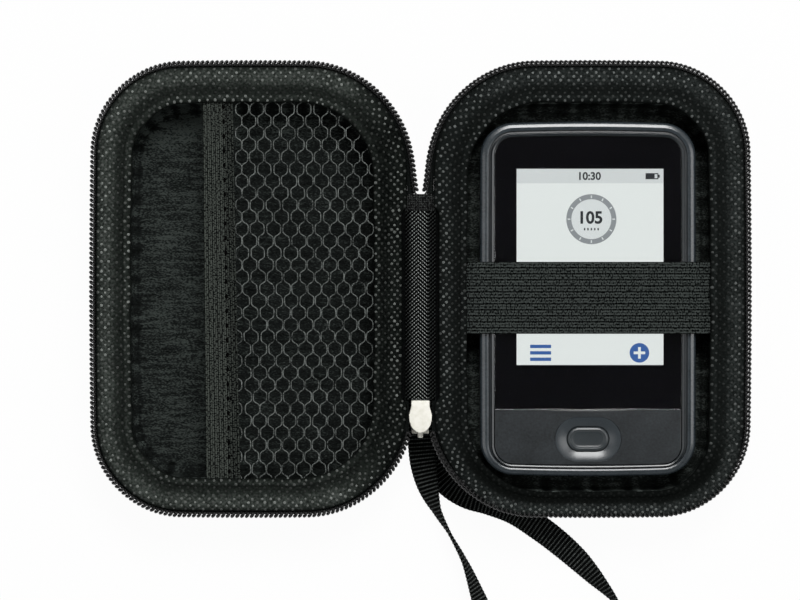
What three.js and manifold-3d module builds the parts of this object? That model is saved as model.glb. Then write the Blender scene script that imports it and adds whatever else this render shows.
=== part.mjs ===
// Glucose meter case: a zip-round hard case lying open flat, with the meter under its elastic strap.
// Millimetres, +Z up. The hinge line is x = 0, the tray lies towards +X and the lid towards -X,
// +Y points to the top end of the meter, and the case stands on z = 0.

import * as THREE from "three";
import { mergeVertices } from "three/addons/utils/BufferGeometryUtils.js";
import Module from "manifold-3d";

const wasm = await Module();
wasm.setup();

// Driving dimensions

// One half of the case. The two halves are alike outside, and the tray's recess has this room round the meter.
const METER_SIDE_ROOM = 5.2;
const METER_TOP_ROOM = 5.3;
const METER_LOWER_ROOM = 4.3;
const CLOSING_ROOM = 1.25;
const OUTER_CORNER_RADIUS = 26;
const HINGE_CORNER_RADIUS = 31;
const SIDE_BOW = 0.9;
const HINGE_TO_TEETH = 1.3;

// Clearances: between sewn neighbours, between hard neighbours, and to the plane where the halves meet.
const SEWN_GAP = 0.25;
const HARD_GAP = 0.2;
const MEETING_GAP = 0.15;
const SLIDER_GAP = 0.3;

// Zip
const TEETH_WIDTH = 1.4;
const TEETH_HEIGHT = 2;
const ZIP_TAPE_THICKNESS = 0.5;
const ZIP_TAPE_HEIGHT = 7;
const ZIP_TOP_END = 28.3;
const ZIP_BOTTOM_END = -42.8;

// Foam shell, padded lining and the edge binding that is rolled over both. The binding covers the rim
// from the shell to the recess, and it is narrowest at the lower end of the tray.
const SHELL_WALL = 3;
const SHELL_DRAFT = 0.8;
const BASE_EDGE_RADIUS = 10;
const SIDE_BINDING = 8.6;
const TOP_BINDING = 10.2;
const TRAY_LOWER_BINDING = 5.4;
const LID_LOWER_BINDING = 9.3;
const RECESS_OUTER_RADIUS = 15;
const RECESS_HINGE_RADIUS = 20;
const BINDING_SKIRT = 1.8;
const LINING_FLOOR = 2;
const LINING_CHAMFER = 1.6;
const SEAM_SLOT = 1.35;

// Elastic strap, pocket band and pocket net. Their edges are sewn into the seam slot.
const SEAM_TUCK = 2.6;
const BAND_TUCK = 2;
const STRAP_WIDTH = 21.2;
const STRAP_THICKNESS = 1;
const STRAP_LIFT = 0.3;
const STRAP_OVERHANG = 0.4;
const STRAP_DROP_ROOM = 1;
const STRAP_Y = -2.6;
const BAND_NEAR_EDGE = 4.7;
const BAND_WIDTH = 9.8;
const BAND_THICKNESS = 1;
const NET_THICKNESS = 0.6;
const NET_HEM = 0.7;
const NET_STRAND = 0.75;
const NET_COLUMN_PITCH = 4.6;
const NET_ROW_PITCH = 3.54;

// Spine
const SPINE_TOP = 23;
const SPINE_BOTTOM = -32.6;
const SPINE_THICKNESS = 0.8;
const SPINE_LEG = 5.6;
const SPINE_ARCH = 2.8;
const SPINE_CROWN_DROP = 0.5;

// Zip slider and pull tab
const SLIDER_WIDTH = 6.8;
const SLIDER_TAIL_WIDTH = 5.4;
const SLIDER_LENGTH = 9.6;
const SLIDER_NECK = 1.9;
const SLIDER_SHOULDER = 4.3;
const SLIDER_PLATE = 1.2;
const SLIDER_CHANNEL = 2.6;
const SLIDER_POST = 2.2;
const BRIDGE_WIDTH = 1.6;
const BRIDGE_BAR = 0.8;
const BRIDGE_OPENING = 2;
const PULL_TAB_WIDTH = 5;
const PULL_TAB_THICKNESS = 1.2;
const PULL_TAB_REACH = 12;
const PULL_TAB_EYE = 2.6;

// Wrist strap, one loop of flat webbing that lies on the table
const WEBBING_WIDTH = 8;
const WEBBING_THICKNESS = 1.2;
const WEBBING_TABLE_GAP = 0.2;
const ANCHOR_WIDTH = 4.4;
const ANCHOR_LENGTH = 6.5;
const ANCHOR_TOP = 18;

// Meter. Its display, the room round the display and the chin below it set its width and length.
const DISPLAY_SIZE = [48, 66, 2.6];
const DISPLAY_SHIFT = 0.4;
const DISPLAY_SIDE_ROOM = 2;
const DISPLAY_TOP_ROOM = 3.5;
const CHIN_LENGTH = 29.5;
const METER_THICKNESS = 15;
const METER_CORNER_RADIUS = 9.5;
const METER_BOW = 0.8;
const COVER_HEIGHT = 9.5;
const COVER_WALL = 1.8;
const COVER_FLOOR = 1.6;
const COVER_EDGE_RADIUS = 3;
const BEZEL_WIDTH = 4.4;
const BEZEL_LEDGE = 1.6;
const BEZEL_LEDGE_THICKNESS = 1.5;
const GLASS_THICKNESS = 1.3;
const FASCIA_LENGTH = 19.9;
const CARRIER_WALL = 2;
const CARRIER_INSET = 5;
const BOARD_SIDE_ROOM = 5;
const BOARD_END_ROOM = 6.5;
const BOARD_THICKNESS = 1;
const BOARD_UNDERSIDE = 7.2;
const BOSS_RADIUS = 2.6;
const BOSS_TO_BOARD_EDGE = 3.6;
const SCREW_RADIUS = 1;
const SCREW_HEAD_RADIUS = 2;
const SCREW_HEAD_HEIGHT = 1.2;
const SCREW_DEPTH = 4;
const SCREW_CLEARANCE = 0.25;
const SOCKET_SIZE = [7.6, 5.4, 2.6];
const SOCKET_ROOM = 0.4;
const BATTERY_LENGTH = 46;
const BATTERY_TO_BOARD_EDGE = 8;
const MOTOR_RADIUS = 5;
const MOTOR_HEIGHT = 3;
const MOTOR_X = 14;
const SPEAKER_RADIUS = 6.5;
const SPEAKER_HEIGHT = 3.2;
const SPEAKER_X = -13;
const SOUND_TO_BOARD_EDGE = 16;
const KEY_SIZE = [12.2, 7.1];
const KEY_TO_END = 11.1;
const KEY_TRAVEL = 0.5;
const KEY_FLANGE = 0.9;
const KEY_STEM_RADIUS = 2;
const DISH_SIZE = [19.4, 13.2];
const DISH_DEPTH = 0.6;

// Sizes that follow from these

const GLASS_BORDER = BEZEL_WIDTH + BEZEL_LEDGE;
const METER_WIDTH = DISPLAY_SIZE[0] + 2 * (GLASS_BORDER + DISPLAY_SIDE_ROOM);
const METER_LENGTH = DISPLAY_SIZE[1] + GLASS_BORDER + DISPLAY_TOP_ROOM + CHIN_LENGTH;
const METER_LOWER_END = -METER_LENGTH / 2;
const DISPLAY_CENTRE = [DISPLAY_SHIFT, METER_LOWER_END + CHIN_LENGTH + DISPLAY_SIZE[1] / 2];
const FASCIA_SPLIT = METER_LOWER_END + FASCIA_LENGTH;
const KEY_Y = METER_LOWER_END + KEY_TO_END;
const BOARD_HALF_WIDTH = METER_WIDTH / 2 - BOARD_SIDE_ROOM;
const BOARD_HALF_LENGTH = METER_LENGTH / 2 - BOARD_END_ROOM;
const TAPE_INSET = TEETH_WIDTH + SEWN_GAP;
const SHELL_INSET = TAPE_INSET + ZIP_TAPE_THICKNESS + SEWN_GAP;
const LINING_INSET = SHELL_INSET + SHELL_WALL + SEWN_GAP;
const FLOOR_Z = SHELL_WALL + SEWN_GAP + LINING_FLOOR;
const METER_Z = FLOOR_Z + HARD_GAP;
const METER_TOP = METER_Z + METER_THICKNESS;
const TRAY_RECESS_LENGTH = METER_LENGTH + METER_TOP_ROOM + METER_LOWER_ROOM;
const RECESS_HALF_WIDTH = METER_WIDTH / 2 + METER_SIDE_ROOM;
const HALF_WIDTH = 2 * (RECESS_HALF_WIDTH + SIDE_BINDING + SHELL_INSET);
const HALF_LENGTH = TRAY_RECESS_LENGTH + TOP_BINDING + TRAY_LOWER_BINDING + 2 * SHELL_INSET;
const RIM_END = HALF_LENGTH / 2 - SHELL_INSET;
const RECESS_TOP = RIM_END - TOP_BINDING;
const METER_Y = RECESS_TOP - METER_TOP_ROOM - METER_LENGTH / 2;
const HALF_DEPTH = METER_TOP + STRAP_LIFT + STRAP_THICKNESS + CLOSING_ROOM;
const HALF_CENTRE = HINGE_TO_TEETH + HALF_WIDTH / 2;
const MEETING_Z = HALF_DEPTH - MEETING_GAP;
const SHELL_FACE_X = HINGE_TO_TEETH + SHELL_INSET;
const BINDING_UNDERSIDE = MEETING_Z - BINDING_SKIRT;
const SHELL_TOP = BINDING_UNDERSIDE - SEWN_GAP;
const SEAM_TOP = SHELL_TOP - SEWN_GAP / 2;
const LINING_TOP = SEAM_TOP - SEAM_SLOT;

const ARC_STEPS = 6;
const SIDE_STEPS = 3;

const group = new THREE.Group();
group.name = "glucose_meter_case";
const tray = new THREE.Group();
tray.position.x = HALF_CENTRE;
const lid = new THREE.Group();
lid.position.x = -HALF_CENTRE;
lid.scale.x = -1;
const meter = new THREE.Group();
meter.position.set(HALF_CENTRE, METER_Y, METER_Z);
group.add(tray, lid, meter);

// Helpers

function addPart(parent, name, geometry, colour, roughness = 0.8, metalness = 0) {
  const material = new THREE.MeshStandardMaterial({ color: colour, roughness, metalness });
  const mesh = new THREE.Mesh(geometry, material);
  mesh.name = name;
  parent.add(mesh);
  return mesh;
}

function fromTriangles(positions, triangles) {
  const geometry = new THREE.BufferGeometry();
  geometry.setAttribute("position", new THREE.Float32BufferAttribute(positions, 3));
  geometry.setIndex(triangles);
  return geometry;
}

function toSolid(geometry) {
  const bare = new THREE.BufferGeometry();
  bare.setAttribute("position", geometry.getAttribute("position"));
  bare.setIndex(geometry.getIndex());
  const merged = mergeVertices(bare, 1e-4);
  const mesh = new wasm.Mesh({
    numProp: 3,
    vertProperties: new Float32Array(merged.getAttribute("position").array),
    triVerts: new Uint32Array(merged.getIndex().array),
  });
  return new wasm.Manifold(mesh);
}

function fromSolid(solid) {
  const mesh = solid.getMesh();
  return fromTriangles(Array.from(mesh.vertProperties), Array.from(mesh.triVerts));
}

function subtract(geometry, ...tools) {
  let solid = toSolid(geometry);
  for (const tool of tools) {
    solid = solid.subtract(toSolid(tool));
  }
  return fromSolid(solid);
}

function unite(first, ...others) {
  let solid = toSolid(first);
  for (const other of others) {
    solid = solid.add(toSolid(other));
  }
  return fromSolid(solid);
}

// A box given by its ranges in x, y and z.
function block([x0, x1], [y0, y1], [z0, z1]) {
  const geometry = new THREE.BoxGeometry(x1 - x0, y1 - y0, z1 - z0);
  return geometry.translate((x0 + x1) / 2, (y0 + y1) / 2, (z0 + z1) / 2);
}

// A round rod that stands on z0.
function rod(radius, z0, z1, x = 0, y = 0, sides = 16) {
  const geometry = new THREE.CylinderGeometry(radius, radius, z1 - z0, sides);
  return geometry.rotateX(Math.PI / 2).translate(x, y, (z0 + z1) / 2);
}

// A plate: a closed row of points in plan, raised from z0 to z1.
function plate(points, z0, z1, holes = []) {
  const shape = new THREE.Shape(points);
  shape.holes = holes.map((hole) => new THREE.Path(hole));
  const geometry = new THREE.ExtrudeGeometry(shape, { depth: z1 - z0, bevelEnabled: false });
  return geometry.translate(0, 0, z0);
}

// Rounded rectangle whose sides bow outwards a little, counter-clockwise, brought in by an inset.
function roundedOutline(width, length, nearRadius, farRadius, bow, inset) {
  const halfX = width / 2 - bow;
  const halfY = length / 2 - bow;
  const corners = [
    { x: 1, y: 1, radius: farRadius },
    { x: -1, y: 1, radius: nearRadius },
    { x: -1, y: -1, radius: nearRadius },
    { x: 1, y: -1, radius: farRadius },
  ];
  const points = [];
  corners.forEach((corner, index) => {
    const radius = Math.max(corner.radius - inset, 0.5);
    const centreX = corner.x * (halfX - inset - radius);
    const centreY = corner.y * (halfY - inset - radius);
    for (let step = 0; step <= ARC_STEPS; step += 1) {
      const angle = (index + step / ARC_STEPS) * (Math.PI / 2);
      points.push(new THREE.Vector2(centreX + radius * Math.cos(angle), centreY + radius * Math.sin(angle)));
    }
  });
  const full = [];
  points.forEach((point, index) => {
    full.push(point);
    const cornerEnds = index % (ARC_STEPS + 1) === ARC_STEPS;
    if (cornerEnds) {
      const next = points[(index + 1) % points.length];
      for (let step = 1; step < SIDE_STEPS; step += 1) {
        full.push(point.clone().lerp(next, step / SIDE_STEPS));
      }
    }
  });
  return full.map((point) => new THREE.Vector2(
    point.x * (1 + (bow / halfX) * (1 - (point.y / halfY) ** 2)),
    point.y * (1 + (bow / halfY) * (1 - (point.x / halfX) ** 2)),
  ));
}

function caseOutline(inset) {
  return roundedOutline(
    HALF_WIDTH, HALF_LENGTH, HINGE_CORNER_RADIUS, OUTER_CORNER_RADIUS, SIDE_BOW, inset,
  );
}

// The recess of a half, whose lower end is set by the binding there.
function recessOutline(lowerBinding, inset) {
  const recessLow = lowerBinding - RIM_END;
  const outline = roundedOutline(
    2 * RECESS_HALF_WIDTH, RECESS_TOP - recessLow, RECESS_HINGE_RADIUS, RECESS_OUTER_RADIUS, SIDE_BOW, inset,
  );
  const middle = new THREE.Vector2(0, (RECESS_TOP + recessLow) / 2);
  return outline.map((point) => point.add(middle));
}

function meterOutline(inset) {
  return roundedOutline(
    METER_WIDTH, METER_LENGTH, METER_CORNER_RADIUS, METER_CORNER_RADIUS, METER_BOW, inset,
  );
}

// Skin between rows of points that run counter-clockwise. A wall that climbs faces outwards.
function loft(rows, closed) {
  const count = rows[0].length;
  const positions = rows.flat().flatMap((point) => [point.x, point.y, point.z]);
  const triangles = [];
  const bands = closed ? rows.length : rows.length - 1;
  for (let band = 0; band < bands; band += 1) {
    const low = band * count;
    const high = ((band + 1) % rows.length) * count;
    for (let side = 0; side < count; side += 1) {
      const next = (side + 1) % count;
      triangles.push(low + side, low + next, high + next);
      triangles.push(low + side, high + next, high + side);
    }
  }
  if (!closed) {
    const last = (rows.length - 1) * count;
    const faces = (row) => THREE.ShapeUtils.triangulateShape(row.map((p) => new THREE.Vector2(p.x, p.y)), []);
    faces(rows[0]).forEach(([a, b, c]) => triangles.push(a, c, b));
    faces(rows.at(-1)).forEach(([a, b, c]) => triangles.push(last + a, last + b, last + c));
  }
  return fromTriangles(positions, triangles);
}

// Rows of [outline, height]. Closed rows make a ring, and open ones make a bowl: outside upwards first,
// then down the inside.
function around(rows, closed) {
  return loft(rows.map(([outline, z]) => atHeight(outline, z)), closed);
}

// A profile of [inset, height] pairs carried round an outline.
function rowsRound(outline, profile) {
  return profile.map(([inset, z]) => [outline(inset), z]);
}

// Quarter circle as [inset, height] pairs, from the flat underside up to the wall.
function edgeCurve(inset, z, radius, steps) {
  const pairs = [];
  for (let step = 0; step <= steps; step += 1) {
    const angle = (step / steps) * (Math.PI / 2);
    pairs.push([inset - radius * Math.sin(angle), z - radius * Math.cos(angle)]);
  }
  return pairs;
}

// Oval with straight long sides.
function oval([length, width], grow = 0, steps = 8) {
  const radius = width / 2 + grow;
  const reach = (length - width) / 2;
  const points = [];
  for (const end of [1, -1]) {
    for (let step = 0; step <= steps; step += 1) {
      const angle = end * (Math.PI / 2) * -1 + (step / steps) * Math.PI;
      points.push(new THREE.Vector2(end * reach + radius * Math.cos(angle), radius * Math.sin(angle)));
    }
  }
  return points;
}

function atHeight(points, z, y = 0) {
  return points.map((point) => new THREE.Vector3(point.x, point.y + y, z));
}

// The two halves

const edgeInset = SHELL_INSET + SHELL_DRAFT + BASE_EDGE_RADIUS;
const shellProfile = [
  ...edgeCurve(edgeInset, BASE_EDGE_RADIUS, BASE_EDGE_RADIUS, 4),
  [SHELL_INSET, SHELL_TOP],
  [SHELL_INSET + SHELL_WALL, SHELL_TOP],
  ...edgeCurve(edgeInset, BASE_EDGE_RADIUS, BASE_EDGE_RADIUS - SHELL_WALL, 3).reverse(),
];

const liningProfile = [
  ...edgeCurve(edgeInset, BASE_EDGE_RADIUS, BASE_EDGE_RADIUS - SHELL_WALL - SEWN_GAP, 3),
  [LINING_INSET, LINING_TOP],
];

function liningRows(lowerBinding) {
  return [
    ...rowsRound(caseOutline, liningProfile),
    [recessOutline(lowerBinding, 0), LINING_TOP],
    [recessOutline(lowerBinding, 0), FLOOR_Z + LINING_CHAMFER],
    [recessOutline(lowerBinding, LINING_CHAMFER), FLOOR_Z],
  ];
}

// The binding is a broad outer roll, a stitched valley and a narrow inner ridge, which share its width.
function bindingRows(lowerBinding) {
  const outer = caseOutline(SHELL_INSET);
  const inner = recessOutline(lowerBinding, 0);
  const between = (share) => outer.map((point, index) => point.clone().lerp(inner[index], share));
  return [
    [outer, BINDING_UNDERSIDE],
    [outer, MEETING_Z - 0.8],
    [between(0.15), MEETING_Z],
    [between(0.49), MEETING_Z],
    [between(0.62), MEETING_Z - 0.9],
    [between(0.75), MEETING_Z - 0.5],
    [between(0.93), MEETING_Z - 0.8],
    [inner, MEETING_Z - 1.5],
    [inner, SEAM_TOP],
    [caseOutline(LINING_INSET), SEAM_TOP],
    [caseOutline(LINING_INSET), BINDING_UNDERSIDE],
  ];
}

const tapeTop = MEETING_Z - 0.5;
const tapeProfile = [
  [TAPE_INSET, tapeTop - ZIP_TAPE_HEIGHT],
  [TAPE_INSET, tapeTop],
  [TAPE_INSET + ZIP_TAPE_THICKNESS, tapeTop],
  [TAPE_INSET + ZIP_TAPE_THICKNESS, tapeTop - ZIP_TAPE_HEIGHT],
];

const teethProfile = [
  [0, MEETING_Z - TEETH_HEIGHT],
  [0, MEETING_Z],
  [TEETH_WIDTH, MEETING_Z],
  [TEETH_WIDTH, MEETING_Z - TEETH_HEIGHT],
];

// The zip runs round three sides and stops at both ends of the spine.
const zipBreak = block([-HALF_WIDTH, -HALF_WIDTH / 4], [ZIP_BOTTOM_END, ZIP_TOP_END], [0, 2 * HALF_DEPTH]);

const halves = [[tray, "tray", TRAY_LOWER_BINDING], [lid, "lid", LID_LOWER_BINDING]];
for (const [half, name, lowerBinding] of halves) {
  const tape = around(rowsRound(caseOutline, tapeProfile), true);
  const teeth = around(rowsRound(caseOutline, teethProfile), true);
  addPart(half, `${name}_shell`, around(rowsRound(caseOutline, shellProfile), false), 0x1d1f20, 0.85);
  addPart(half, `${name}_lining`, around(liningRows(lowerBinding), false), 0x262829, 0.95);
  addPart(half, `${name}_edge_binding`, around(bindingRows(lowerBinding), true), 0x2c2f2e, 0.95);
  addPart(half, `${name}_zip_tape`, subtract(tape, zipBreak), 0x141515, 0.9);
  addPart(half, `${name}_zip_teeth`, subtract(teeth, zipBreak), 0x17181a, 0.5);
}

// Elastic strap: flat over the meter, down beside it, and into the seam slot on both sides.
const strapLow = (LINING_TOP + SEAM_TOP - STRAP_THICKNESS) / 2;
const strapHigh = METER_TOP + STRAP_LIFT;
const strapEnd = RECESS_HALF_WIDTH + SEAM_TUCK;
const strapDown = RECESS_HALF_WIDTH - STRAP_DROP_ROOM;
const strapOver = METER_WIDTH / 2 + STRAP_OVERHANG;
const strapUnder = [
  [-strapEnd, strapLow],
  [-strapDown, strapLow],
  [-strapOver, strapHigh],
  [strapOver, strapHigh],
  [strapDown, strapLow],
  [strapEnd, strapLow],
];
const strapSection = [
  ...strapUnder.map(([x, z]) => new THREE.Vector2(x, z)),
  ...strapUnder.map(([x, z]) => new THREE.Vector2(x, z + STRAP_THICKNESS)).reverse(),
];
const strap = plate(strapSection, -STRAP_WIDTH / 2, STRAP_WIDTH / 2).rotateX(Math.PI / 2);
addPart(tray, "elastic_strap", strap.translate(0, STRAP_Y, 0), 0x2a2d2c, 0.95);

// Pocket band: both ends reach into the seam slot at the ends of the lid.
const lidRecessLow = LID_LOWER_BINDING - RIM_END;
const bandLow = (LINING_TOP + SEAM_TOP - BAND_THICKNESS) / 2;
const band = block(
  [BAND_NEAR_EDGE, BAND_NEAR_EDGE + BAND_WIDTH],
  [lidRecessLow - BAND_TUCK, RECESS_TOP + BAND_TUCK],
  [bandLow, bandLow + BAND_THICKNESS],
);
addPart(lid, "pocket_band", band, 0x2c2f2f, 0.95);

// Pocket net: hexagonal mesh from the band to the hinge side, with its hem in the seam slot.
const netLow = (LINING_TOP + SEAM_TOP - NET_THICKNESS) / 2;
const netEdge = BAND_NEAR_EDGE - SEWN_GAP;

function keepNearSide(points, limit) {
  const kept = [];
  points.forEach((point, index) => {
    const next = points[(index + 1) % points.length];
    if (point.x <= limit) {
      kept.push(point);
    }
    if ((point.x <= limit) !== (next.x <= limit)) {
      kept.push(point.clone().lerp(next, (limit - point.x) / (next.x - point.x)));
    }
  });
  return kept;
}

function inside(point, polygon) {
  let crossings = 0;
  polygon.forEach((a, index) => {
    const b = polygon[(index + 1) % polygon.length];
    const straddles = (a.y > point.y) !== (b.y > point.y);
    if (straddles && point.x < a.x + ((point.y - a.y) / (b.y - a.y)) * (b.x - a.x)) {
      crossings += 1;
    }
  });
  return crossings % 2 === 1;
}

function netHole(x, y) {
  const halfX = (NET_COLUMN_PITCH - NET_STRAND) / 2;
  const tip = (2 / 3) * NET_ROW_PITCH - 0.6 * NET_STRAND;
  const shoulder = NET_ROW_PITCH / 3 - 0.2 * NET_STRAND;
  return [[0, tip], [-halfX, shoulder], [-halfX, -shoulder], [0, -tip], [halfX, -shoulder], [halfX, shoulder]]
    .map(([dx, dy]) => new THREE.Vector2(x + dx, y + dy));
}

const netOutline = keepNearSide(recessOutline(LID_LOWER_BINDING, -SEAM_TUCK), netEdge);
const netOpen = keepNearSide(recessOutline(LID_LOWER_BINDING, NET_HEM), netEdge - NET_HEM);
const netHoles = [];
const netRows = Math.ceil(HALF_LENGTH / 2 / NET_ROW_PITCH);
for (let row = -netRows; row <= netRows; row += 1) {
  const shift = row % 2 === 0 ? 0 : NET_COLUMN_PITCH / 2;
  for (let column = 0; column * NET_COLUMN_PITCH < HALF_WIDTH / 2; column += 1) {
    const x = netEdge - NET_HEM - NET_COLUMN_PITCH / 2 - shift - column * NET_COLUMN_PITCH;
    const hole = netHole(x, row * NET_ROW_PITCH);
    if (hole.every((point) => inside(point, netOpen))) {
      netHoles.push(hole);
    }
  }
}
const net = plate(netOutline, netLow, netLow + NET_THICKNESS, netHoles);
addPart(lid, "pocket_net", net, 0x1b1d1d, 0.9);

// The spine, the zip slider and the wrist strap

// Spine tape: two legs against the shells and an arch between them.
const spineHalf = SHELL_FACE_X - SLIDER_GAP;
const spineCrown = HALF_DEPTH - SPINE_CROWN_DROP;
const spineSpring = spineCrown - SPINE_ARCH;

function spineLine(offset) {
  const points = [new THREE.Vector2(spineHalf - offset, spineSpring - SPINE_LEG)];
  const steps = 10;
  for (let step = 0; step <= steps; step += 1) {
    const angle = (step / steps) * Math.PI;
    const x = (spineHalf - offset) * Math.cos(angle);
    points.push(new THREE.Vector2(x, spineSpring + (SPINE_ARCH - offset) * Math.sin(angle)));
  }
  points.push(new THREE.Vector2(offset - spineHalf, spineSpring - SPINE_LEG));
  return points;
}

const spineSection = [...spineLine(0), ...spineLine(SPINE_THICKNESS).reverse()];
const spine = plate(spineSection, -SPINE_TOP, -SPINE_BOTTOM).rotateX(Math.PI / 2);
addPart(group, "spine_tape", spine, 0x2b2d2c, 0.95);

// Folded tape over the upper end of the zip.
const endTab = block(
  [-spineHalf, spineHalf],
  [SPINE_TOP + SLIDER_GAP, ZIP_TOP_END - SLIDER_GAP],
  [HALF_DEPTH - 2.6, HALF_DEPTH - 1],
);
addPart(group, "zip_end_tab", endTab, 0x1a1b1b, 0.95);

// Slider: a shield-shaped plate inside, a plate outside, a wedge between, and a bridge for the pull tab.
const sliderTail = SPINE_BOTTOM - 0.2;
const sliderNose = sliderTail - SLIDER_LENGTH;
const shield = new THREE.Shape();
shield.moveTo(-SLIDER_TAIL_WIDTH / 2, sliderTail);
shield.lineTo(-SLIDER_TAIL_WIDTH / 2, sliderTail - SLIDER_NECK);
shield.lineTo(-SLIDER_WIDTH / 2, sliderTail - SLIDER_SHOULDER);
shield.quadraticCurveTo(-SLIDER_WIDTH / 2, sliderNose + 0.6, 0, sliderNose);
shield.quadraticCurveTo(SLIDER_WIDTH / 2, sliderNose + 0.6, SLIDER_WIDTH / 2, sliderTail - SLIDER_SHOULDER);
shield.lineTo(SLIDER_TAIL_WIDTH / 2, sliderTail - SLIDER_NECK);
shield.lineTo(SLIDER_TAIL_WIDTH / 2, sliderTail);
const shieldPoints = shield.getPoints(5).reverse();

const innerPlateTop = MEETING_Z - 0.2;
const innerPlateLow = innerPlateTop - SLIDER_PLATE;
const outerPlateTop = innerPlateLow - SLIDER_CHANNEL;
const outerPlateLow = outerPlateTop - SLIDER_PLATE;
const pivotY = sliderNose + 0.2;
const pivotZ = outerPlateLow - BRIDGE_OPENING / 2;
const bridgeFront = pivotY - BRIDGE_OPENING / 2 - BRIDGE_BAR;
const bridgeBack = pivotY + BRIDGE_OPENING / 2 + BRIDGE_BAR;
const bridgeLow = pivotZ - BRIDGE_OPENING / 2 - BRIDGE_BAR;
const wedge = block(
  [-SLIDER_POST / 2, SLIDER_POST / 2],
  [sliderNose + 1.6, sliderNose + 5.2],
  [outerPlateTop - 0.5, innerPlateLow + 0.5],
);
const bridge = subtract(
  block([-BRIDGE_WIDTH / 2, BRIDGE_WIDTH / 2], [bridgeFront, bridgeBack], [bridgeLow, outerPlateLow + 0.6]),
  block(
    [-BRIDGE_WIDTH, BRIDGE_WIDTH],
    [pivotY - BRIDGE_OPENING / 2, pivotY + BRIDGE_OPENING / 2],
    [pivotZ - BRIDGE_OPENING / 2, pivotZ + BRIDGE_OPENING / 2],
  ),
);
const slider = unite(
  plate(shieldPoints, innerPlateLow, innerPlateTop),
  plate(shieldPoints, outerPlateLow, outerPlateTop),
  wedge,
  bridge,
);
addPart(group, "slider_body", slider, 0xe9e7dc, 0.35, 0.4);

// Pull tab: a long loop of metal that hangs in the bridge and swings about its upper bar.
const barHalf = PULL_TAB_THICKNESS / 2;
const tabCorner = 1.2;
const tabPoints = [
  [-PULL_TAB_WIDTH / 2, barHalf],
  [-PULL_TAB_WIDTH / 2, tabCorner - PULL_TAB_REACH],
  [tabCorner - PULL_TAB_WIDTH / 2, -PULL_TAB_REACH],
  [PULL_TAB_WIDTH / 2 - tabCorner, -PULL_TAB_REACH],
  [PULL_TAB_WIDTH / 2, tabCorner - PULL_TAB_REACH],
  [PULL_TAB_WIDTH / 2, barHalf],
].map(([x, z]) => new THREE.Vector2(x, z));
const eyeHalf = BRIDGE_WIDTH / 2 + 0.4;
const eyePoints = [
  [-eyeHalf, -barHalf],
  [eyeHalf, -barHalf],
  [eyeHalf, -barHalf - PULL_TAB_EYE],
  [-eyeHalf, -barHalf - PULL_TAB_EYE],
].map(([x, z]) => new THREE.Vector2(x, z));
const pullTab = plate(tabPoints, -barHalf, barHalf, [eyePoints]).rotateX(Math.PI / 2);
addPart(group, "pull_tab", pullTab.translate(0, pivotY, pivotZ), 0xd9d7cd, 0.35, 0.6);

// Anchor: the folded ends of the webbing, sewn between the legs of the spine.
const anchorFront = SPINE_BOTTOM - 0.2;
const anchor = block(
  [-ANCHOR_WIDTH / 2, ANCHOR_WIDTH / 2],
  [anchorFront, anchorFront + ANCHOR_LENGTH],
  [WEBBING_TABLE_GAP, ANCHOR_TOP],
);
addPart(group, "strap_anchor", anchor, 0x1c1d1d, 0.95);

// Wrist strap: x, y, roll in degrees, and lift off the table. At 0 and 180 degrees the webbing lies flat,
// and at 90 degrees it stands on its edge, which is how it gets round the end of the loop.
const webbingLine = [
  [0, anchorFront - 0.3, 0, 0],
  [0.2, -39, 0, 0],
  [1.2, -46, 0, 0],
  [4.2, -53, 0, 0],
  [8.6, -58.8, 0, 0],
  [14.2, -62.4, 0, 0],
  [21, -64.4, 0, 0],
  [28.4, -67.2, 0, 0],
  [35.6, -71.8, 4, 0],
  [41.7, -76.4, 14, 0],
  [47.5, -81.5, 30, 0],
  [52.8, -87, 52, 0],
  [58.6, -93.6, 80, 0],
  [64.6, -102.4, 88, 0],
  [67, -113.2, 90, 0],
  [62, -124.6, 90, 0],
  [50, -131, 90, 0],
  [37, -128, 85, 0],
  [28, -118, 70, 0],
  [22.5, -105.5, 56, 0],
  [18, -94, 56, 0],
  [13.4, -82, 82, 0],
  [9, -73.8, 92, 0],
  [5, -66.6, 108, 0],
  [2.4, -59.4, 142, 0.4],
  [0.8, -52, 170, 1.2],
  [0.2, -45, 179, 1.6],
  [0, -39, 180, 1.6],
  [0, anchorFront - 0.3, 180, 1.6],
];

function webbingPoint([x, y, roll, lift]) {
  const angle = THREE.MathUtils.degToRad(roll);
  const reach = (WEBBING_WIDTH * Math.abs(Math.sin(angle)) + WEBBING_THICKNESS * Math.abs(Math.cos(angle))) / 2;
  return new THREE.Vector3(x, y, WEBBING_TABLE_GAP + reach + lift);
}

function webbing(line) {
  const curve = new THREE.CatmullRomCurve3(line.map(webbingPoint), false, "centripetal");
  const stepsPerSpan = 2;
  const spans = line.length - 1;
  const rows = [];
  for (let step = 0; step <= spans * stepsPerSpan; step += 1) {
    const span = Math.min(Math.floor(step / stepsPerSpan), spans - 1);
    const share = step / stepsPerSpan - span;
    const t = step / (spans * stepsPerSpan);
    const along = curve.getTangent(t);
    const roll = THREE.MathUtils.degToRad(THREE.MathUtils.lerp(line[span][2], line[span + 1][2], share));
    const level = new THREE.Vector3(along.y, -along.x, 0).normalize();
    const across = level.applyAxisAngle(along, roll);
    const normal = new THREE.Vector3().crossVectors(along, across);
    const halfWidth = WEBBING_WIDTH / 2;
    const halfThickness = WEBBING_THICKNESS / 2;
    const flat = halfWidth - halfThickness;
    const section = [
      [-halfWidth, 0], [-flat, halfThickness], [flat, halfThickness],
      [halfWidth, 0], [flat, -halfThickness], [-flat, -halfThickness],
    ];
    const centre = curve.getPoint(t);
    rows.push(section.map(([a, b]) => centre.clone().addScaledVector(across, a).addScaledVector(normal, b)));
  }
  return sweep(rows);
}

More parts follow.
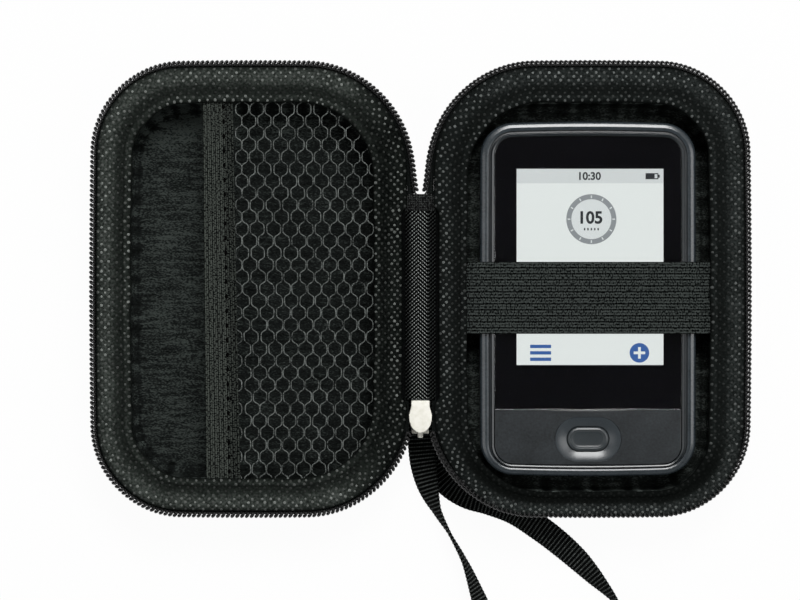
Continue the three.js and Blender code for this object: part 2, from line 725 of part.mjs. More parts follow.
// Skin over the rows of a strip, with a fan on each end.
function sweep(rows) {
  const count = rows[0].length;
  const positions = rows.flat().flatMap((point) => [point.x, point.y, point.z]);
  const triangles = [];
  for (let row = 0; row + 1 < rows.length; row += 1) {
    for (let side = 0; side < count; side += 1) {
      const next = (side + 1) % count;
      const low = row * count;
      const high = low + count;
      triangles.push(low + side, high + next, low + next);
      triangles.push(low + side, high + side, high + next);
    }
  }
  const last = (rows.length - 1) * count;
  for (let side = 1; side + 1 < count; side += 1) {
    triangles.push(0, side, side + 1);
    triangles.push(last, last + side + 1, last + side);
  }
  return fromTriangles(positions, triangles);
}

addPart(group, "wrist_strap", webbing(webbingLine), 0x141515, 0.9);

// The meter

const boardTop = BOARD_UNDERSIDE + BOARD_THICKNESS;
const glassLow = METER_THICKNESS - 0.2 - GLASS_THICKNESS;
const ledgeTop = glassLow - HARD_GAP;
const bezelLow = COVER_HEIGHT + HARD_GAP;

const coverProfile = [
  ...edgeCurve(COVER_EDGE_RADIUS, COVER_EDGE_RADIUS, COVER_EDGE_RADIUS, 3),
  [0, COVER_HEIGHT],
  [COVER_WALL, COVER_HEIGHT],
  [COVER_WALL, COVER_EDGE_RADIUS],
  [COVER_EDGE_RADIUS, COVER_FLOOR],
];
const screwCentres = [];
for (const sideX of [-1, 1]) {
  for (const sideY of [-1, 1]) {
    const x = sideX * (BOARD_HALF_WIDTH - BOSS_TO_BOARD_EDGE);
    const y = sideY * (BOARD_HALF_LENGTH - BOSS_TO_BOARD_EDGE);
    screwCentres.push([x, y]);
  }
}
const screwTip = boardTop + HARD_GAP - SCREW_DEPTH;
const bosses = screwCentres.map(([x, y]) => (
  rod(BOSS_RADIUS, COVER_FLOOR - 0.4, BOARD_UNDERSIDE - HARD_GAP, x, y)
));
const bossBores = screwCentres.map(([x, y]) => (
  rod(SCREW_RADIUS + SCREW_CLEARANCE, screwTip - SCREW_CLEARANCE, boardTop, x, y, 12)
));

// The charging socket looks out of the lower end wall, under the board.
const socketTop = BOARD_UNDERSIDE - HARD_GAP;
const socketFront = METER_LOWER_END + COVER_WALL + SLIDER_GAP;
const socketWindow = block(
  [-SOCKET_SIZE[0] / 2 - SOCKET_ROOM, SOCKET_SIZE[0] / 2 + SOCKET_ROOM],
  [-METER_LENGTH, socketFront],
  [socketTop - SOCKET_SIZE[2] - SOCKET_ROOM, BOARD_UNDERSIDE],
);
const coverShell = around(rowsRound(meterOutline, coverProfile), false);
const cover = subtract(unite(coverShell, ...bosses), ...bossBores, socketWindow);
addPart(meter, "meter_rear_cover", cover, 0x23272b, 0.6);

const socketMouth = block([-3, 3], [socketFront - 1, socketFront + 4], [socketTop - 2.1, socketTop - 0.5]);
const socketShell = block(
  [-SOCKET_SIZE[0] / 2, SOCKET_SIZE[0] / 2],
  [socketFront, socketFront + SOCKET_SIZE[1]],
  [socketTop - SOCKET_SIZE[2], socketTop],
);
addPart(meter, "charge_socket", subtract(socketShell, socketMouth), 0xaeb2b5, 0.35, 0.9);

// Bezel: outer bevel, a fine groove, an inner line, and a ledge under the glass.
const ledgeEdge = BEZEL_WIDTH + BEZEL_LEDGE;
const bezelProfile = [
  [0, bezelLow],
  [0, METER_THICKNESS - 2.6],
  [0.8, METER_THICKNESS - 1],
  [2.2, METER_THICKNESS - 0.2],
  [2.6, METER_THICKNESS - 0.8],
  [3, METER_THICKNESS - 0.8],
  [3.2, METER_THICKNESS],
  [BEZEL_WIDTH, METER_THICKNESS],
  [BEZEL_WIDTH, ledgeTop],
  [ledgeEdge, ledgeTop],
  [ledgeEdge, ledgeTop - BEZEL_LEDGE_THICKNESS],
  [COVER_WALL, ledgeTop - BEZEL_LEDGE_THICKNESS],
  [COVER_WALL, bezelLow],
];
addPart(meter, "meter_bezel", around(rowsRound(meterOutline, bezelProfile), true), 0x4a5156, 0.35);

// Glass above and fascia below fill the window of the bezel.
const windowOutline = meterOutline(BEZEL_WIDTH + SEWN_GAP);
const windowTop = METER_THICKNESS - 0.2;
const fullWidth = [-METER_WIDTH, METER_WIDTH];
const fullHeight = [0, 2 * METER_THICKNESS];
const above = block(fullWidth, [FASCIA_SPLIT - HARD_GAP, METER_LENGTH], fullHeight);
const below = block(fullWidth, [-METER_LENGTH, FASCIA_SPLIT], fullHeight);
addPart(meter, "front_glass", subtract(plate(windowOutline, glassLow, windowTop), below), 0x101013, 0.08);

const dish = loft([
  atHeight(oval(KEY_SIZE, 0.9), windowTop - DISH_DEPTH, KEY_Y),
  atHeight(oval(DISH_SIZE), windowTop, KEY_Y),
  atHeight(oval(DISH_SIZE), windowTop + 1, KEY_Y),
], false);
const keyHole = loft([
  atHeight(oval(KEY_SIZE, SEWN_GAP), glassLow - 1, KEY_Y),
  atHeight(oval(KEY_SIZE, SEWN_GAP), windowTop + 1, KEY_Y),
], false);
const fascia = subtract(plate(windowOutline, glassLow, windowTop), above, dish, keyHole);
addPart(meter, "front_fascia", fascia, 0x34393c, 0.5);

// Home button: domed key, a flange that holds it under the fascia, and a stem above the switch.
const flangeTop = glassLow - HARD_GAP;
const domeLow = boardTop + HARD_GAP;
const domeTop = domeLow + 1;
const stemLow = domeTop + KEY_TRAVEL + HARD_GAP;
const keyCap = loft([
  atHeight(oval(KEY_SIZE, KEY_FLANGE), flangeTop - 1, KEY_Y),
  atHeight(oval(KEY_SIZE, KEY_FLANGE), flangeTop, KEY_Y),
  atHeight(oval(KEY_SIZE), flangeTop, KEY_Y),
  atHeight(oval(KEY_SIZE), windowTop - 0.3, KEY_Y),
  atHeight(oval(KEY_SIZE, -0.5), windowTop, KEY_Y),
], false);
const homeButton = unite(keyCap, rod(KEY_STEM_RADIUS, stemLow, flangeTop - 0.5, 0, KEY_Y));
addPart(meter, "home_button", homeButton, 0x3a4044, 0.45);

const dome = loft([
  atHeight(oval([6, 6]), domeLow, KEY_Y),
  atHeight(oval([6, 6], -0.3), domeLow + 0.5, KEY_Y),
  atHeight(oval([6, 6], -1.6), domeTop, KEY_Y),
], false);
addPart(meter, "button_switch", dome, 0x8d9194, 0.4, 0.6);

// Display on its carrier, under the glass.
const displayX = DISPLAY_SIZE[0] / 2;
const displayY = DISPLAY_SIZE[1] / 2;
const displayTop = glassLow - HARD_GAP;
const displayLow = displayTop - DISPLAY_SIZE[2];
const display = block([-displayX, displayX], [-displayY, displayY], [displayLow, displayTop]);
addPart(meter, "display_panel", display.translate(...DISPLAY_CENTRE, 0), 0xdfe4e2, 0.4);

const carrierX = displayX - CARRIER_INSET;
const carrierY = displayY - CARRIER_INSET;
const carrierLow = boardTop + HARD_GAP;
const carrierTop = displayLow - HARD_GAP;
const carrier = subtract(
  block([-carrierX, carrierX], [-carrierY, carrierY], [carrierLow, carrierTop]),
  block(
    [CARRIER_WALL - carrierX, carrierX - CARRIER_WALL],
    [CARRIER_WALL - carrierY, carrierY - CARRIER_WALL],
    [carrierLow - 1, carrierTop + 1],
  ),
);
addPart(meter, "display_carrier", carrier.translate(...DISPLAY_CENTRE, 0), 0x2a2c2e, 0.7);

// Board, its screws, and what hangs under it.
const boardBores = screwCentres.map(([x, y]) => (
  rod(SCREW_RADIUS + SCREW_CLEARANCE, 0, METER_THICKNESS, x, y, 12)
));
const board = block(
  [-BOARD_HALF_WIDTH, BOARD_HALF_WIDTH],
  [-BOARD_HALF_LENGTH, BOARD_HALF_LENGTH],
  [BOARD_UNDERSIDE, boardTop],
);
addPart(meter, "circuit_board", subtract(board, ...boardBores), 0x1f4a33, 0.6);

screwCentres.forEach(([x, y], index) => {
  const shank = rod(SCREW_RADIUS, screwTip, boardTop + 0.5, x, y, 12);
  const head = rod(SCREW_HEAD_RADIUS, boardTop + HARD_GAP, boardTop + HARD_GAP + SCREW_HEAD_HEIGHT, x, y, 12);
  addPart(meter, `board_screw_${index + 1}`, unite(shank, head), 0xb4b7b9, 0.35, 0.9);
});

const underBoard = BOARD_UNDERSIDE - HARD_GAP;
const batteryHalfWidth = BOARD_HALF_WIDTH - BATTERY_TO_BOARD_EDGE;
const batteryEnd = BOARD_HALF_LENGTH - BATTERY_TO_BOARD_EDGE;
const battery = block(
  [-batteryHalfWidth, batteryHalfWidth],
  [batteryEnd - BATTERY_LENGTH, batteryEnd],
  [COVER_FLOOR + HARD_GAP, underBoard],
);
addPart(meter, "battery_pack", battery, 0x9aa0a4, 0.5);
const soundY = SOUND_TO_BOARD_EDGE - BOARD_HALF_LENGTH;
const motor = rod(MOTOR_RADIUS, underBoard - MOTOR_HEIGHT, underBoard, MOTOR_X, soundY, 20);
addPart(meter, "vibration_motor", motor, 0xb0b3b5, 0.35, 0.9);
const speaker = rod(SPEAKER_RADIUS, underBoard - SPEAKER_HEIGHT, underBoard, SPEAKER_X, soundY, 20);
addPart(meter, "speaker", speaker, 0x2b2d2f, 0.6);

export default group;
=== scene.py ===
# %% [markdown]
# # A zip-round case with a glucose meter in it
# The real thing is a moulded foam case that opens flat on a woven spine. One half is a tray, with a
# handheld meter under an elastic strap. The other half is a lid, with a net pocket.
# The hard sizes come from a packed model, the frame. This lesson dresses it, one piece at a time,
# and never moves it. Sizes are millimetres until a mesh is made, because that is how a case is cut.

# %% Load the frame
import math

import bmesh
import bpy
import numpy as np
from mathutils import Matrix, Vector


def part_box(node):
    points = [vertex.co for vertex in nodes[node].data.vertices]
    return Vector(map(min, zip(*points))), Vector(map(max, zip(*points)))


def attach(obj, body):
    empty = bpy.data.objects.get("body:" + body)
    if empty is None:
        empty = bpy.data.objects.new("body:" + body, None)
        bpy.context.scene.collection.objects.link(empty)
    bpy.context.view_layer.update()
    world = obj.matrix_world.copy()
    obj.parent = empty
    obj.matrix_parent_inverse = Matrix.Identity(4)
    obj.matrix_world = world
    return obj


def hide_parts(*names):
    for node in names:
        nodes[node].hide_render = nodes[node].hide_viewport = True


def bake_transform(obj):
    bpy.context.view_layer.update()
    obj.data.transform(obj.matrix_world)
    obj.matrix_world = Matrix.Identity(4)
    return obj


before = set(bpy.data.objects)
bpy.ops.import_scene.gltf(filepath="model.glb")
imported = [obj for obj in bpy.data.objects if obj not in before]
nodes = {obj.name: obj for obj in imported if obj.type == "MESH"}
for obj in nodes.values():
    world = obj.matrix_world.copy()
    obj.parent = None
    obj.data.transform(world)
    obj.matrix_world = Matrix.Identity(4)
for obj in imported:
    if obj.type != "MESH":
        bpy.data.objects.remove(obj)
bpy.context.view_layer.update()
scene = bpy.context.scene
scene.view_settings.view_transform = "Standard"

# %% [markdown]
# ## Measures
# A maker would put a ruler on the case first. Sizes could be typed in, but then they would drift from
# the frame. So every outline below starts from a few boxes of the frame: the tray's foam shell gives
# the size of a half, and the meter's bezel gives the size of the meter. What the frame doesn't say,
# such as how far the zip stands outside the shell, is a named value.

# %% Measures of a half
MM = 0.001
SHELL_INSET = 2.4
RIM_ABOVE_SHELL = 2.2


def node_box(name):
    low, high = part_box(name)
    return np.array(low) / MM, np.array(high) / MM


shell_low, shell_high = node_box("tray_shell")
SHELL_TOP = shell_high[2]
RIM_Z = SHELL_TOP + RIM_ABOVE_SHELL
HALF_WIDTH = shell_high[0] - shell_low[0] + 2 * SHELL_INSET
HALF_LENGTH = shell_high[1] - shell_low[1] + 2 * SHELL_INSET
HALF_CENTRE = (shell_low[0] + shell_high[0]) / 2
print("a half is", HALF_WIDTH.round(2), "by", HALF_LENGTH.round(2), "and the rim is at", RIM_Z)

# %% Measures of the meter
bezel_low, bezel_high = node_box("meter_bezel")
METER_CENTRE = (bezel_low + bezel_high) / 2
METER_SIZE = bezel_high - bezel_low
METER_TOP = bezel_high[2]
print("the meter is", METER_SIZE.round(2), "at", METER_CENTRE.round(2))

# %% [markdown]
# ## Camera
# The photograph looks straight down on the open case. A long lens held high keeps the walls from
# leaning, which is how the picture looks. A camera without perspective would hide the walls altogether.
# The lens follows from the scale of the picture at the rim: so many millimetres to a pixel, at so
# many millimetres of distance.

# %% Camera
MM_PER_PIXEL = 0.294
IMAGE_WIDTH, IMAGE_HEIGHT = 800, 600
HINGE_PIXEL = (420.5, 289.0)
CAMERA_ABOVE_RIM = 750.0
SENSOR_WIDTH = 36.0

camera_data = bpy.data.cameras.new("camera")
camera_data.sensor_width = SENSOR_WIDTH
camera_data.lens = SENSOR_WIDTH * CAMERA_ABOVE_RIM / (IMAGE_WIDTH * MM_PER_PIXEL)
camera = bpy.data.objects.new("camera", camera_data)
camera.location = (
    (IMAGE_WIDTH / 2 - HINGE_PIXEL[0]) * MM_PER_PIXEL * MM,
    (HINGE_PIXEL[1] - IMAGE_HEIGHT / 2) * MM_PER_PIXEL * MM,
    (RIM_Z + CAMERA_ABOVE_RIM) * MM,
)
scene.collection.objects.link(camera)
scene.camera = camera
print("lens", round(camera_data.lens, 1), "mm, camera at", [round(x, 4) for x in camera.location])

# %% [markdown]
# ## Finishes
# Every surface gets a small node material. It could be wired by hand in the shader editor, but a class
# keeps the wiring short and alike. A finish starts with a Principled shader whose even values sit on
# its own sockets, and then adds only what varies, as a colour ramp, a roughness or a bump.
# Object coordinates are used on moulded pieces and UVs in millimetres on straps, so that a weave has
# the same thread size everywhere.


# %% Colours
def shade(red, green, blue):
    """A colour as it looks on screen, from 0 to 255, as the shader's linear numbers."""
    parts = np.array([red, green, blue]) / 255
    linear = np.where(parts <= 0.04045, parts / 12.92, ((parts + 0.055) / 1.055) ** 2.4)
    return (*linear.tolist(), 1.0)


print("a mid grey is written as", [round(x, 3) for x in shade(128, 128, 128)])


# %% Wiring of nodes
class Wiring:
    """A node tree that is built up in a few calls."""

    def __init__(self, tree):
        self.tree = tree

    def join(self, value, socket):
        """Links a socket of another node, or sets a plain value."""
        if isinstance(value, bpy.types.NodeSocket):
            self.tree.links.new(value, socket)
        else:
            socket.default_value = value

    def add(self, kind, inputs=None, **settings):
        node = self.tree.nodes.new("ShaderNode" + kind)
        for name, value in settings.items():
            setattr(node, name, value)
        for name, value in (inputs or {}).items():
            self.join(value, node.inputs[name])
        return node

    def math(self, operation, *values):
        return self.add("Math", dict(enumerate(values)), operation=operation).outputs["Value"]

    def ramp(self, factor, stops):
        """Turns a factor into a colour, by pairs of position and colour."""
        node = self.add("ValToRGB", {"Fac": factor})
        band = node.color_ramp.elements
        while len(band) < len(stops):
            band.new(0.5)
        for element, (position, colour) in zip(band, stops):
            element.position = position
            element.color = colour
        return node.outputs["Color"]

    def seen(self):
        """1 on rays of the camera, of gloss and of glass, and 0 on rays that only carry light."""
        paths = self.add("LightPath").outputs
        straight = self.math("MAXIMUM", paths["Is Camera Ray"], paths["Is Glossy Ray"])
        return self.math("MAXIMUM", straight, paths["Is Transmission Ray"])


print("wiring can", [name for name in vars(Wiring) if not name.startswith("_")])


# %% Finish of a surface
class Finish(Wiring):
    """A material that starts as a Principled shader with even values."""

    def __init__(self, name, **sockets):
        self.material = bpy.data.materials.new(name)
        self.material.use_nodes = True
        super().__init__(self.material.node_tree)
        self.shader = self.tree.nodes["Principled BSDF"]
        for socket, value in sockets.items():
            self.shader.inputs[socket.replace("_", " ")].default_value = value

    def stretched(self, spot, scale, turn=0.0):
        """The same coordinates on another scale, and then turned about Z."""
        inputs = {"Vector": spot, "Scale": scale, "Rotation": (0, 0, turn)}
        return self.add("Mapping", inputs).outputs["Vector"]

    def place(self, source="Object"):
        """Coordinates in millimetres. The UVs of the meshes below are in millimetres already."""
        scale = 1 / MM if source == "Object" else 1.0
        return self.stretched(self.add("TexCoord").outputs[source], (scale, scale, scale))

    def noise(self, spot, size, detail=2.0):
        inputs = {"Vector": spot, "Scale": 1 / size, "Detail": detail}
        return self.add("TexNoise", inputs).outputs["Fac"]

    def ribs(self, spot, pitch, axis):
        """Even ribs across one axis, from 0 in a groove to 1 on a rib."""
        inputs = {"Vector": spot, "Scale": 2 * math.pi / 20 / pitch, "Distortion": 0.0}
        kind = {"wave_type": "BANDS", "bands_direction": axis, "wave_profile": "SIN"}
        return self.add("TexWave", inputs, **kind).outputs["Fac"]

    def mixed(self, first, second, share):
        """Two patterns in one: a share of the second and the rest of the first."""
        return self.math("MULTIPLY_ADD", second, share, self.math("MULTIPLY", first, 1 - share))

    def weave(self, spot, pitch):
        """Threads over and under: two sets of ribs that change places on a fine chequer."""
        chequer = self.add("TexChecker", {"Vector": spot, "Scale": 1 / pitch}).outputs["Fac"]
        threads = {socket: self.ribs(spot, pitch, axis) for socket, axis in (("A", "X"), ("B", "Y"))}
        return self.add("Mix", {"Factor": chequer, **threads}).outputs["Result"]

    def relief(self):
        """The value that the maker wrote on each point of the mesh: the height of a rib, painted light
        and shade, or both.
        """
        return self.add("Attribute", attribute_name="relief").outputs["Fac"]

    def colour(self, factor, *stops):
        """Pairs of position and screen colour."""
        stops = [(position, shade(*tone)) for position, tone in stops]
        self.join(self.ramp(factor, stops), self.shader.inputs["Base Color"])

    def roughness(self, factor, low, high):
        spread = self.add("MapRange", {"Value": factor, "To Min": low, "To Max": high})
        self.join(spread.outputs["Result"], self.shader.inputs["Roughness"])

    def bump(self, height, depth):
        node = self.add("Bump", {"Height": height, "Distance": depth * MM, "Strength": 0.6})
        self.join(node.outputs["Normal"], self.shader.inputs["Normal"])


def cloth(name, rough=0.9):
    """Any of the case's cloths: dull, because even a faint gloss greys a black cloth."""
    return Finish(name, Roughness=rough, Specular_IOR_Level=0.02)


def tell(*finishes):
    for finish in finishes:
        print("finish:", finish.material.name, "with", len(finish.tree.nodes), "nodes")


print("a finish can", [name for name in vars(Finish) if not name.startswith("_")])

# %% [markdown]
# ## Light and floor
# The case lies on plain white. A picture of a studio could light it, but lamps and a sky need no file.
# A large soft lamp hangs behind the top end of the meter, so upper edges catch a line of light, and two
# weak lamps do the same for the sides. A dim sky fills the rest. It is darkest straight above,
# because the glass of the meter mirrors that part and looks black in the photograph.
# The floor is mostly a plain white glow to the camera, with enough of a lit surface in it to keep a
# shadow. Low in the sky, the camera and gloss see the same white, as of a backdrop behind the table.

# %% Floor
FLOOR_REACH = 6.0
FLOOR_DROP = 0.05
FLOOR_GLOW = 0.96
FLOOR_CORNERS = ((-1, -1), (1, -1), (1, 1), (-1, 1))


def make_floor():
    mesh = bpy.data.meshes.new("floor")
    corners = [(x * FLOOR_REACH, y * FLOOR_REACH, -FLOOR_DROP * MM) for x, y in FLOOR_CORNERS]
    mesh.from_pydata(corners, [], [(0, 1, 2, 3)])
    floor = bpy.data.objects.new("floor", mesh)
    scene.collection.objects.link(floor)
    grey = (0.9, 0.9, 0.9, 1.0)
    paint = Finish("floor white", Base_Color=grey, Roughness=0.9, Specular_IOR_Level=0.0)
    glow = paint.add("Emission", {"Color": (1, 1, 1, 1), "Strength": 1.0})
    mix = paint.add("MixShader", {
        "Fac": paint.math("MULTIPLY", paint.seen(), FLOOR_GLOW),
        1: paint.shader.outputs["BSDF"],
        2: glow.outputs["Emission"],
    })
    paint.join(mix.outputs["Shader"], paint.tree.nodes["Material Output"].inputs["Surface"])
    mesh.materials.append(paint.material)
    tell(paint)


make_floor()


# %% Lamps
def add_lamp(name, place, size, watts):
    data = bpy.data.lights.new(name, "AREA")
    data.shape = "DISK"
    data.size = size
    data.energy = watts
    lamp = bpy.data.objects.new(name, data)
    lamp.location = place
    aim = -lamp.location.normalized()
    lamp.rotation_euler = aim.to_track_quat("-Z", "Y").to_euler()
    scene.collection.objects.link(lamp)


add_lamp("key lamp", (0.1, 0.52, 1.0), 0.5, 8.0)
add_lamp("right fill lamp", (0.6, 0.05, 0.95), 0.5, 1.6)
add_lamp("left fill lamp", (-0.55, -0.1, 1.0), 0.6, 1.0)
print("lamps:", [light.name for light in bpy.data.lights])


# %% Sky
def make_sky(lighting, backdrop):
    """A sky in two versions: one lights the case, and the camera, gloss and glass see the other one.

    Both are pairs of upward share, from 0 at the horizon to 1 straight above, and brightness.
    """
    world = bpy.data.worlds.new("sky")
    scene.world = world
    world.use_nodes = True
    sky = Wiring(world.node_tree)
    sky.tree.nodes.clear()
    spot = sky.add("TexCoord").outputs["Generated"]
    upward = sky.add("SeparateXYZ", {"Vector": spot}).outputs["Z"]
    glows = []
    for levels in (lighting, backdrop):
        colour = sky.ramp(upward, [(height, (level, level, level, 1)) for height, level in levels])
        glows.append(sky.add("Background", {"Color": colour}).outputs["Background"])
    mix = sky.add("MixShader", {"Fac": sky.seen(), 1: glows[0], 2: glows[1]})
    sky.add("OutputWorld", {"Surface": mix.outputs["Shader"]})
    print("the sky has", len(sky.tree.nodes), "nodes")


make_sky(
    [(0.0, 0.5), (0.75, 0.3), (0.92, 0.05), (1.0, 0.03)],
    [(0.0, 1.0), (0.25, 1.0), (0.5, 0.45), (0.75, 0.3), (0.92, 0.05), (1.0, 0.03)],
)

# %% [markdown]
# ## Meshes in millimetres
# Most pieces of a sewn case are skins: a profile that runs round an outline, or a strip that runs along
# a line. One small class gathers such skins in millimetres, with UVs in millimetres and a value on each
# point that holds relief and painted light, and makes one welded mesh of them. Modifiers could do some
# of this, but points that are worked out leave nothing to chance when the script runs again.


# %% Handing a piece to the frame
def dress(piece, body, stands_for):
    """Tells the frame what a piece rides on and which nodes it stands for."""
    if body:
        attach(piece, body)
    if stands_for:
        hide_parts(*stands_for)
    print(piece.name, "has", len(piece.data.polygons), "faces")


# %% Mesh helper
WELD = 0.001


class Shape:
    """Gathers faces until they become one piece."""

    def __init__(self):
        self.points = []
        self.faces = []
        self.uvs = []
        self.finishes = []
        self.reliefs = []
        self.count = 0

    def add(self, points, faces, uvs=None, finish=0, relief=0.0):
        points = np.asarray(points, float).reshape(-1, 3)
        faces = np.asarray(faces)
        if uvs is None:
            uvs = points[faces][:, :, :2]
        self.points.append(points)
        self.faces.extend((faces + self.count).tolist())
        self.uvs.append(np.asarray(uvs).reshape(-1, 2))
        self.finishes.append(np.full(len(faces), finish))
        self.reliefs.append(np.broadcast_to(np.ravel(relief), (len(points),)))
        self.count += len(points)

    def face(self, points, finish=0, relief=0.0):
        """One face over a ring of points."""
        self.add(points, [np.arange(len(points))], finish=finish, relief=relief)

    def skin(self, rings, round_profile=False, round_ring=True, caps=False, finish=0, relief=0.0):
        """A skin over rings of points. A round profile joins the last ring to the first."""
        rings = np.asarray(rings, float)
        rows, columns = rings.shape[:2]
        along = np.linalg.norm(np.diff(rings, axis=1, append=rings[:, :1]), axis=2).mean(0)
        across = np.linalg.norm(np.diff(rings, axis=0, append=rings[:1]), axis=2).mean(1)
        u = np.concatenate(([0], np.cumsum(along)))
        v = np.concatenate(([0], np.cumsum(across)))
        bands = np.arange(rows if round_profile else rows - 1)
        sides = np.arange(columns if round_ring else columns - 1)
        row, column = (grid.ravel() for grid in np.meshgrid(bands, sides, indexing="ij"))
        corners = [(row, column), (row, column + 1), (row + 1, column + 1), (row + 1, column)]
        faces = np.stack([(r % rows) * columns + c % columns for r, c in corners], 1)
        uvs = np.stack([np.column_stack((u[c], v[r])) for r, c in corners], 1)
        self.add(rings, faces, uvs, finish, relief)
        if caps:
            self.face(rings[0], finish)
            self.face(rings[-1], finish)

    def make(self, name, finishes, slot, body=None, stands_for=(), sharp=35.0):
        """Edges sharper than so many degrees stay sharp."""
        mesh = bpy.data.meshes.new(name)
        mesh.from_pydata((np.concatenate(self.points) * MM).tolist(), [], self.faces)
        layer = mesh.uv_layers.new(name="cloth")
        layer.data.foreach_set("uv", np.concatenate(self.uvs).astype(np.float32).ravel())
        relief = mesh.attributes.new("relief", "FLOAT", "POINT")
        relief.data.foreach_set("value", np.concatenate(self.reliefs).astype(np.float32))
        for finish in finishes:
            mesh.materials.append(finish.material)
        numbers = np.concatenate(self.finishes).astype(np.int32)
        mesh.polygons.foreach_set("material_index", numbers)
        work = bmesh.new()
        work.from_mesh(mesh)
        bmesh.ops.remove_doubles(work, verts=work.verts, dist=WELD * MM)
        return finished(work, mesh, body, stands_for, sharp)


def finished(work, mesh, body, stands_for, sharp):
    """Ends the work on a mesh: normals outward, smooth faces, and a piece of the same name."""
    bmesh.ops.recalc_face_normals(work, faces=work.faces)
    for face in work.faces:
        face.smooth = True
    work.to_mesh(mesh)
    work.free()
    mesh.set_sharp_from_angle(angle=math.radians(sharp))
    piece = bpy.data.objects.new(mesh.name, mesh)
    scene.collection.objects.link(piece)
    dress(piece, body, stands_for)
    return piece


print("a shape can", [name for name in vars(Shape) if not name.startswith("_")])

# %% [markdown]
# ## Lines
# Straps, coils and net cords all follow a line. Blender's curves could carry them, but a mesh that is
# worked out can have ribs and a value of relief and painted light on every point. A few helpers are
# enough: one draws a smooth line through given points, one walks along a line in even steps, and one
# puts a round tube on it.


# %% Smooth line
def smooth_line(points, steps):
    """A centripetal curve through the points, with so many steps in each span."""
    points = np.asarray(points, float)
    padded = np.vstack((2 * points[0] - points[1], points, 2 * points[-1] - points[-2]))
    gaps = [np.linalg.norm(gap) ** 0.5 for gap in np.diff(padded, axis=0)]
    t = np.arange(steps)[:, None] / steps
    line = []
    for index in range(len(points) - 1):
        before, start, end, after = padded[index:index + 4]
        first, span, last = gaps[index:index + 3]
        middle = (end - start) / span
        leave = span * ((start - before) / first - (end - before) / (first + span) + middle)
        arrive = span * (middle - (after - start) / (span + last) + (after - end) / last)
        line.append(
            start + leave * t + (3 * (end - start) - 2 * leave - arrive) * t**2
            + (2 * (start - end) + leave + arrive) * t**3
        )
    return np.vstack((*line, points[-1:]))


print("a bend through three points has", len(smooth_line([(0, 0), (1, 1), (2, 0)], 8)), "points")


# %% Steps along a line
def lengths_along(line):
    return np.concatenate(([0], np.cumsum(np.linalg.norm(np.diff(line, axis=0), axis=1))))


def lengths_round(ring):
    """Lengths along a ring that closes on itself, with the whole way round as the last."""
    return lengths_along(np.vstack((ring, ring[:1])))


def points_at(line, run, marks):
    """The points of a line at some lengths along it."""
    return np.column_stack([np.interp(marks, run, column) for column in np.asarray(line).T])


def even_steps(line, step):
    """The same line in even steps of about this length."""
    run = lengths_along(line)
    count = max(int(round(run[-1] / step)), 2)
    return points_at(line, run, np.linspace(0, run[-1], count + 1))


print("a line of 10 mm in steps of 3:", even_steps([(0, 0), (10, 0)], 3)[:, 0].round(2).tolist())

# %% Tubes
UP = np.array([0.0, 0.0, 1.0])


def unit(vectors):
    return vectors / np.linalg.norm(vectors, axis=-1, keepdims=True)


def full_turn(steps):
    """Angles in even steps round a circle."""
    return np.arange(steps) / steps * 2 * math.pi


def tube_rings(line, radius, sides, lean):
    """Rings of a round tube. lean is a direction that is never along the line."""
    along = unit(np.gradient(line, axis=0))
    first = unit(lean - along * np.sum(lean * along, axis=1, keepdims=True))[:, None]
    second = np.cross(along, first[:, 0])[:, None]
    turns = full_turn(sides)[None, :, None]
    radius = np.broadcast_to(radius, (len(line),))[:, None, None]
    return line[:, None] + radius * (first * np.cos(turns) + second * np.sin(turns))


print("a tube on a short line:", tube_rings(np.eye(3)[:2] * 5, 1, 6, UP).shape, "rings, sides and axes")

# %% [markdown]
# ## Wrist strap
# One loop of flat webbing comes out under the zip slider, lies on the table and goes back into the
# seam. It lies flat where it leaves the case and stands on its edge round the end of the loop, as flat
# webbing does when it has to turn in its own plane. A curve with a bevel could make a plain ribbon, but
# the woven ribs show on the edge of the strap, so they are real geometry here. The route is a list of
# points: x, y, the roll of the webbing in degrees, and how far it lies above the table.

# %% Route of the webbing
webbing_route = [
    (0, -33.1, 0, 0),
    (0.2, -39, 0, 0),
    (1.2, -46, 0, 0),
    (4.2, -53, 0, 0),
    (8.6, -58.8, 0, 0),
    (14.2, -62.4, 0, 0),
    (21, -64.4, 0, 0),
    (28.4, -67.2, 0, 0),
    (35.6, -71.8, 4, 0),
    (41.7, -76.4, 14, 0),
    (47.5, -81.5, 30, 0),
    (52.8, -87, 52, 0),
    (58.6, -93.6, 80, 0),
    (64.6, -102.4, 88, 0),
    (67, -113.2, 90, 0),
    (62, -124.6, 90, 0),
    (50, -131, 90, 0),
    (37, -128, 85, 0),
    (28, -118, 70, 0),
    (22.5, -105.5, 56, 0),
    (18, -94, 56, 0),
    (13.4, -82, 82, 0),
    (9, -73.8, 92, 0),
    (5, -66.6, 108, 0),
    (2.4, -59.4, 142, 0.4),
    (0.8, -52, 170, 1.2),
    (0.2, -45, 179, 1.6),
    (0, -39, 180, 1.6),
    (0, -33.1, 180, 1.6),
]
print("the webbing's route has", len(webbing_route), "points")

# %% Finish of the webbing
WEBBING_RIB = 1.18


def webbing_finish(name, ribs_in_mesh=True):
    """Ribbed webbing. Where the mesh has no ribs of its own, even level ribs take their place."""
    finish = cloth(name)
    spot = finish.place("UV" if ribs_in_mesh else "Object")
    threads = finish.ribs(spot, 0.5, "X")
    worn = finish.noise(spot, 0.8, 3.0)
    crest = finish.relief() if ribs_in_mesh else finish.ribs(spot, WEBBING_RIB, "Z")
    # Painted shade: the colour goes dark in the grooves between the ribs.
    crest = finish.math("POWER", crest, 1.6)
    tone = finish.math("MULTIPLY", crest, finish.mixed(threads, worn, 0.6))
    finish.colour(tone, (0.02, (2, 2, 2)), (0.3, (36, 39, 38)), (0.68, (116, 120, 118)))
    finish.bump(finish.math("ADD", threads, crest), 0.12)
    return finish


